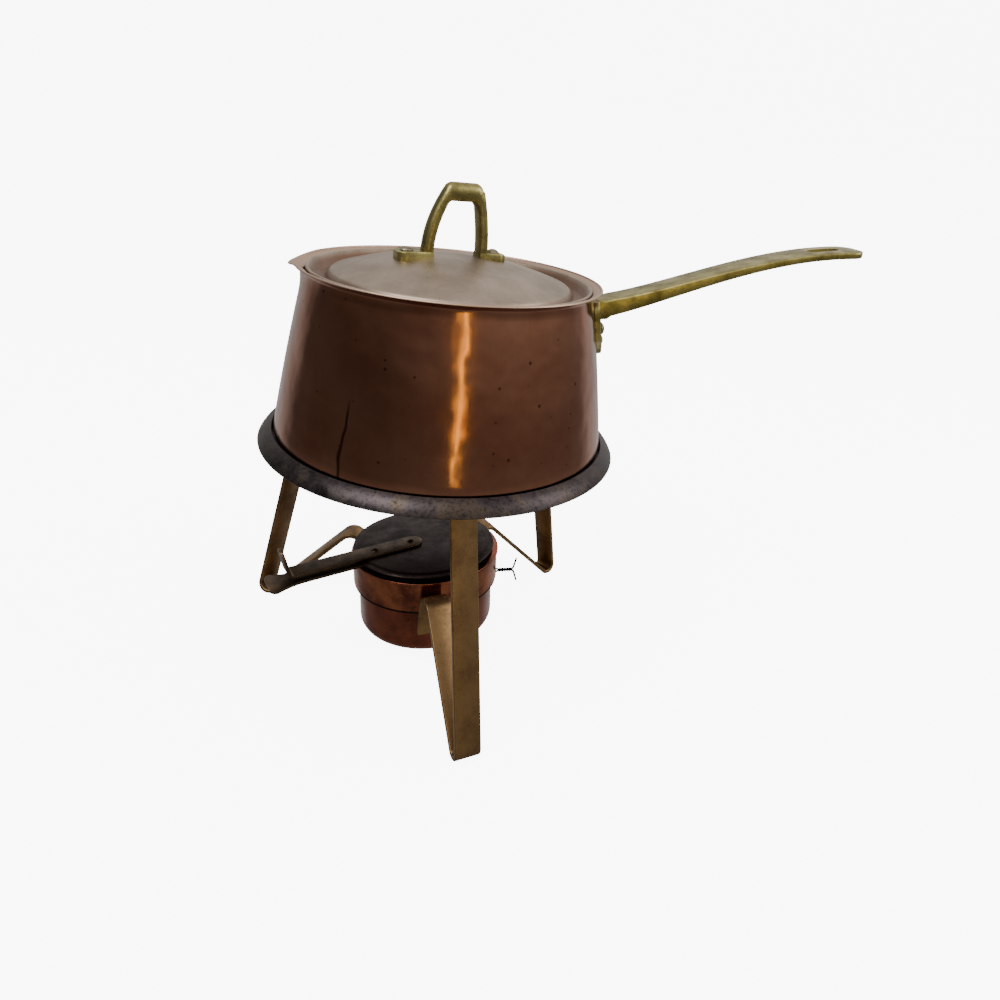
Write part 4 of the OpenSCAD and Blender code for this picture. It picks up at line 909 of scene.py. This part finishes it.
wadding = finish(build("wick_wadding", hung(packed), faces), cotton, 80)
fit(wadding, "burner", "burner_wadding")

# Burner handle
# Flat bronze strip with a fishtail end, by which the hot burner is lifted out.
# It is riveted on the burner's brim.
lever_azimuth, lever_width, grip_thick, grip_reach, grip_start = math.radians(208), 12.0, 1.6, 95.0, 34.0
grip_end_width, grip_end_length, grip_corner, grip_ease = 20.0, 20.0, 3.5, 0.35
lever_turn = hang @ Matrix.Rotation(lever_azimuth, 4, "Z")
rings = []
flare_start, flare_long = grip_reach - grip_end_length, grip_end_length - grip_corner
grip_stations = [grip_start, grip_start + grip_ease, grip_start + 6]
grip_stations += [flare_start + flare_long * i / 8 for i in range(9)]
grip_stations += [grip_reach - grip_corner * (1 - math.sin(math.radians(a))) for a in (20, 40, 60, 75, 90)]
for x in grip_stations:
    share = max(0.0, min(1.0, (x - flare_start) / flare_long))
    half = lever_width / 2 + (grip_end_width - lever_width) / 2 * share ** 2
    past = x - (grip_reach - grip_corner)
    if past > 0:
        half = grip_end_width / 2 - grip_corner + math.sqrt(max(grip_corner ** 2 - past ** 2, 0))
    eased = grip_ease if x in (grip_stations[0], grip_stations[-1]) else 0.0
    rings.append([lever_turn @ Vector((x, v.x, grip_low + grip_thick / 2 + v.y))
                  for v in soft_rectangle(2 * half - eased, grip_thick - 2 * eased, 0.4)])
# Dark bronze strip: brown-black tarnish that is rubbed to a lighter brown along its edges.
dark_bronze = worn_metal("dark bronze strip", "#45392f", "#342b25", "#876848", 10, 0.7, 0.32, 0.52, 0.04, 0.7)
grip = finish(build("fishtail_grip", *loft(rings)), dark_bronze)
fit(grip, "burner", "burner_handle")

# Burner handle rivets
# Two small bronze rivets through the strip and the brim.
# They are filed flush on both sides, clear of the snuffer.
grip_rivet_near, grip_rivet_far = 36.8, (can_radius + flange_radius) / 2
hang_up = hang.to_3x3() @ Vector((0, 0, 1))
grip_rivet_places = [(lever_turn @ Vector((x, 0, grip_low + grip_thick)), hang_up)
                     for x in (grip_rivet_near, grip_rivet_far)]
grip_rivets = set_rivets("grip_rivet_set", grip_rivet_places, small_shank, small_shank,
                         grip_thick + top_thick, dark_bronze)
fit(grip_rivets, "burner", "burner_handle_rivets")

# Snuffer disc
# Flat copper disc with a raised middle, which lies on the burner's rim and puts the flame out.
# It covers almost all of the burner's top.
disc_radius, disc_thick, disc_shift, disc_step, disc_brim = 42.5, 1.2, 1.0, 0.8, 2.8
disc_low = rim_high + 0.1
brim_high, middle_high = disc_low + disc_thick, disc_low + disc_thick + disc_step
middle_radius = disc_radius - disc_brim
disc_profile = [(0, disc_low), (15, disc_low), (disc_radius - 0.3, disc_low), (disc_radius, disc_low + 0.3),
                (disc_radius, brim_high - 0.4), (disc_radius - 0.4, brim_high),
                (middle_radius + 0.3, brim_high), (middle_radius, brim_high + 0.1),
                (middle_radius - 0.8, middle_high - 0.1), (middle_radius - 1.2, middle_high),
                (15, middle_high), (0, middle_high)]
verts, faces = lathe(disc_profile, 192)
# Heat-blackened copper: grey-black scale, dull, with a few brown patches.
blackened = worn_metal("heat-blackened copper", "#403331", "#2b2221", "#52443f",
                       11, 0.8, 0.36, 0.56, 0.03, 0.2)
shifted = [lever_turn @ (Vector(v) + Vector((disc_shift, 0, 0))) for v in verts]
disc = finish(build("snuffer_cover", shifted, faces), blackened)
fit(disc, "snuffer", "snuffer_disc")

# Snuffer arm
# Flat bronze strip riveted on the disc, by which the disc is lifted.
# Its outer end is bent up as a rounded thumb tab.
arm_start, arm_thick, arm_reach, arm_bend = 3.0, 1.6, 84.0, 3.0
thumb_height, thumb_lean = 14.0, math.radians(12)
arm_low = disc_low + disc_step + disc_thick
arm_middle = arm_low + arm_thick / 2
bend_middle = (arm_reach - arm_bend, arm_middle + arm_bend)
half = lever_width / 2
turns = [math.radians(a) for a in (8, 20, 35, 50, 65, 80, 90)]
arm_line = [(Vector((arm_start + half * (1 - math.cos(a)), arm_middle)), half * math.sin(a)) for a in turns]
arm_line += [(Vector((16, arm_middle)), half), (Vector((60, arm_middle)), half)]
arm_line += [(p, half) for p in arc(bend_middle, arm_bend, -90, -12, 8)]
tab_foot = arm_line[-1][0]
tab_up = Vector((math.sin(thumb_lean), math.cos(thumb_lean)))
arm_line += [(tab_foot + tab_up * (thumb_height - half) * i / 2, half) for i in (1, 2)]
turns = [math.radians(a) for a in (20, 40, 55, 68, 80)]
arm_line += [(tab_foot + tab_up * (thumb_height - half + half * math.sin(a)), half * math.cos(a))
             for a in turns]
rings = []
for i, (point, wide) in enumerate(arm_line):
    along = (arm_line[min(i + 1, len(arm_line) - 1)][0] - arm_line[max(i - 1, 0)][0]).normalized()
    normal = Vector((-along.y, along.x))
    loop = [(v.x, point + normal * v.y) for v in soft_rectangle(2 * wide, arm_thick, min(0.4, wide * 0.4))]
    rings.append([lever_turn @ Vector((p.x, off, p.y)) for off, p in loop])
arm = finish(build("snuffer_lever", *loft(rings)), dark_bronze)
fit(arm, "snuffer", "snuffer_arm")

# Snuffer rivets
# Two small bronze rivets through the arm and the disc.
# Their round heads stand on the arm.
arm_rivet_inset = 7
arm_rivet_places = [(lever_turn @ Vector((x, 0, arm_low + arm_thick)), hang_up)
                    for x in (arm_start + arm_rivet_inset, disc_radius - arm_rivet_inset - disc_brim)]
arm_rivets = set_rivets("lever_rivet_set", arm_rivet_places, small_shank, small_head,
                        arm_thick + disc_thick + disc_step, dark_bronze)
fit(arm_rivets, "snuffer", "snuffer_rivets")

# Floor
# Plain pale sheet that runs under the stand and curves up all round it, as a backdrop on every side.
# The metals don't mirror it: they mirror the dim room, whose lamps shine through it.
paper, tree, shader, place = new_material("white backdrop paper", 0)
shader.inputs["Roughness"].default_value = 0.9
shader.inputs["Emission Color"].default_value = (1, 1, 1, 1)
shader.inputs["Emission Strength"].default_value = 8.0
tooth = add(tree, "ShaderNodeTexNoise", {"Scale": 1 / (60 * MM), "Detail": 3}, {"Vector": place})
white = add(tree, "ShaderNodeMix", {"data_type": "RGBA", 6: linear("#f6f5f3"), 7: linear("#fbfaf9")},
            {0: tooth})
connect(tree, shader, {"Base Color": white})
floor_flat, floor_bend, floor_high = 1300, 500, 2400
floor_profile = ([(0, 0), (floor_flat, 0)] + arc((floor_flat, floor_bend), floor_bend, -80, 0, 12)
                 + [(floor_flat + floor_bend, floor_high)])
floor = build("pale_floor", *lathe(floor_profile, 96))
floor.data.materials.append(paper)
floor.data.shade_smooth()
floor.visible_glossy = floor.visible_diffuse = floor.visible_shadow = False

# Light
# A broad soft key from above on the left, a weaker fill on the right, and a narrow warm window that the
# pot's wall mirrors as a streak. The room is dim and warm, darker on the left, with a pale wall behind
# that shows along the edges of the metals.
lamps = (("key", (-0.7, -0.7, 1.5), (0, 0, 0.15), 0.9, 0.9, 22, (1, 1, 1)),
         ("fill", (1.3, -0.2, 1.0), (0, 0, 0.15), 0.8, 0.8, 9, (1, 1, 1)),
         ("window", (0.24, -1.25, 0.27), (0, 0, 0.19), 0.05, 0.58, 1.0, (1, 0.72, 0.10)))
for name, spot, target, width, height, power, colour in lamps:
    lamp = bpy.data.objects.new(name, bpy.data.lights.new(name, "AREA"))
    lamp.data.shape, lamp.data.size, lamp.data.size_y = "RECTANGLE", width, height
    lamp.data.energy, lamp.data.color = power, colour
    lamp.location = spot
    lamp.rotation_euler = (Vector(target) - Vector(spot)).to_track_quat("-Z", "Y").to_euler()
    link(lamp)
world = bpy.data.worlds.new("dim room")
bpy.context.scene.world = world
world.use_nodes = True
tree = world.node_tree
direction = add(tree, "ShaderNodeSeparateXYZ",
                links={"Vector": add(tree, "ShaderNodeTexCoord").outputs["Generated"]})
height = add(tree, "ShaderNodeMapRange", {"From Min": -0.2, "From Max": 0.8, "To Min": 0.08, "To Max": 0.7},
             {"Value": direction.outputs["Z"]})
side = add(tree, "ShaderNodeMapRange", {"From Min": -0.7, "From Max": 0.8, "To Min": 0.55, "To Max": 1.7},
           {"Value": direction.outputs["X"]})
behind = add(tree, "ShaderNodeMapRange", {"From Min": 0.4, "From Max": 0.62, "To Max": 0.36},
             {"Value": direction.outputs["Y"]})
below = add(tree, "ShaderNodeMapRange", {"From Min": -0.02, "From Max": -0.4, "To Max": 0.18},
            {"Value": direction.outputs["Z"]})
edges = add(tree, "ShaderNodeMath", {"operation": "ADD"}, {0: behind, 1: below})
strength = add(tree, "ShaderNodeMath", {"operation": "MULTIPLY_ADD"}, {0: height, 1: side, 2: edges})
connect(tree, tree.nodes["Background"], {"Strength": strength})
tree.nodes["Background"].inputs["Color"].default_value = (1, 0.97, 0.94, 1)
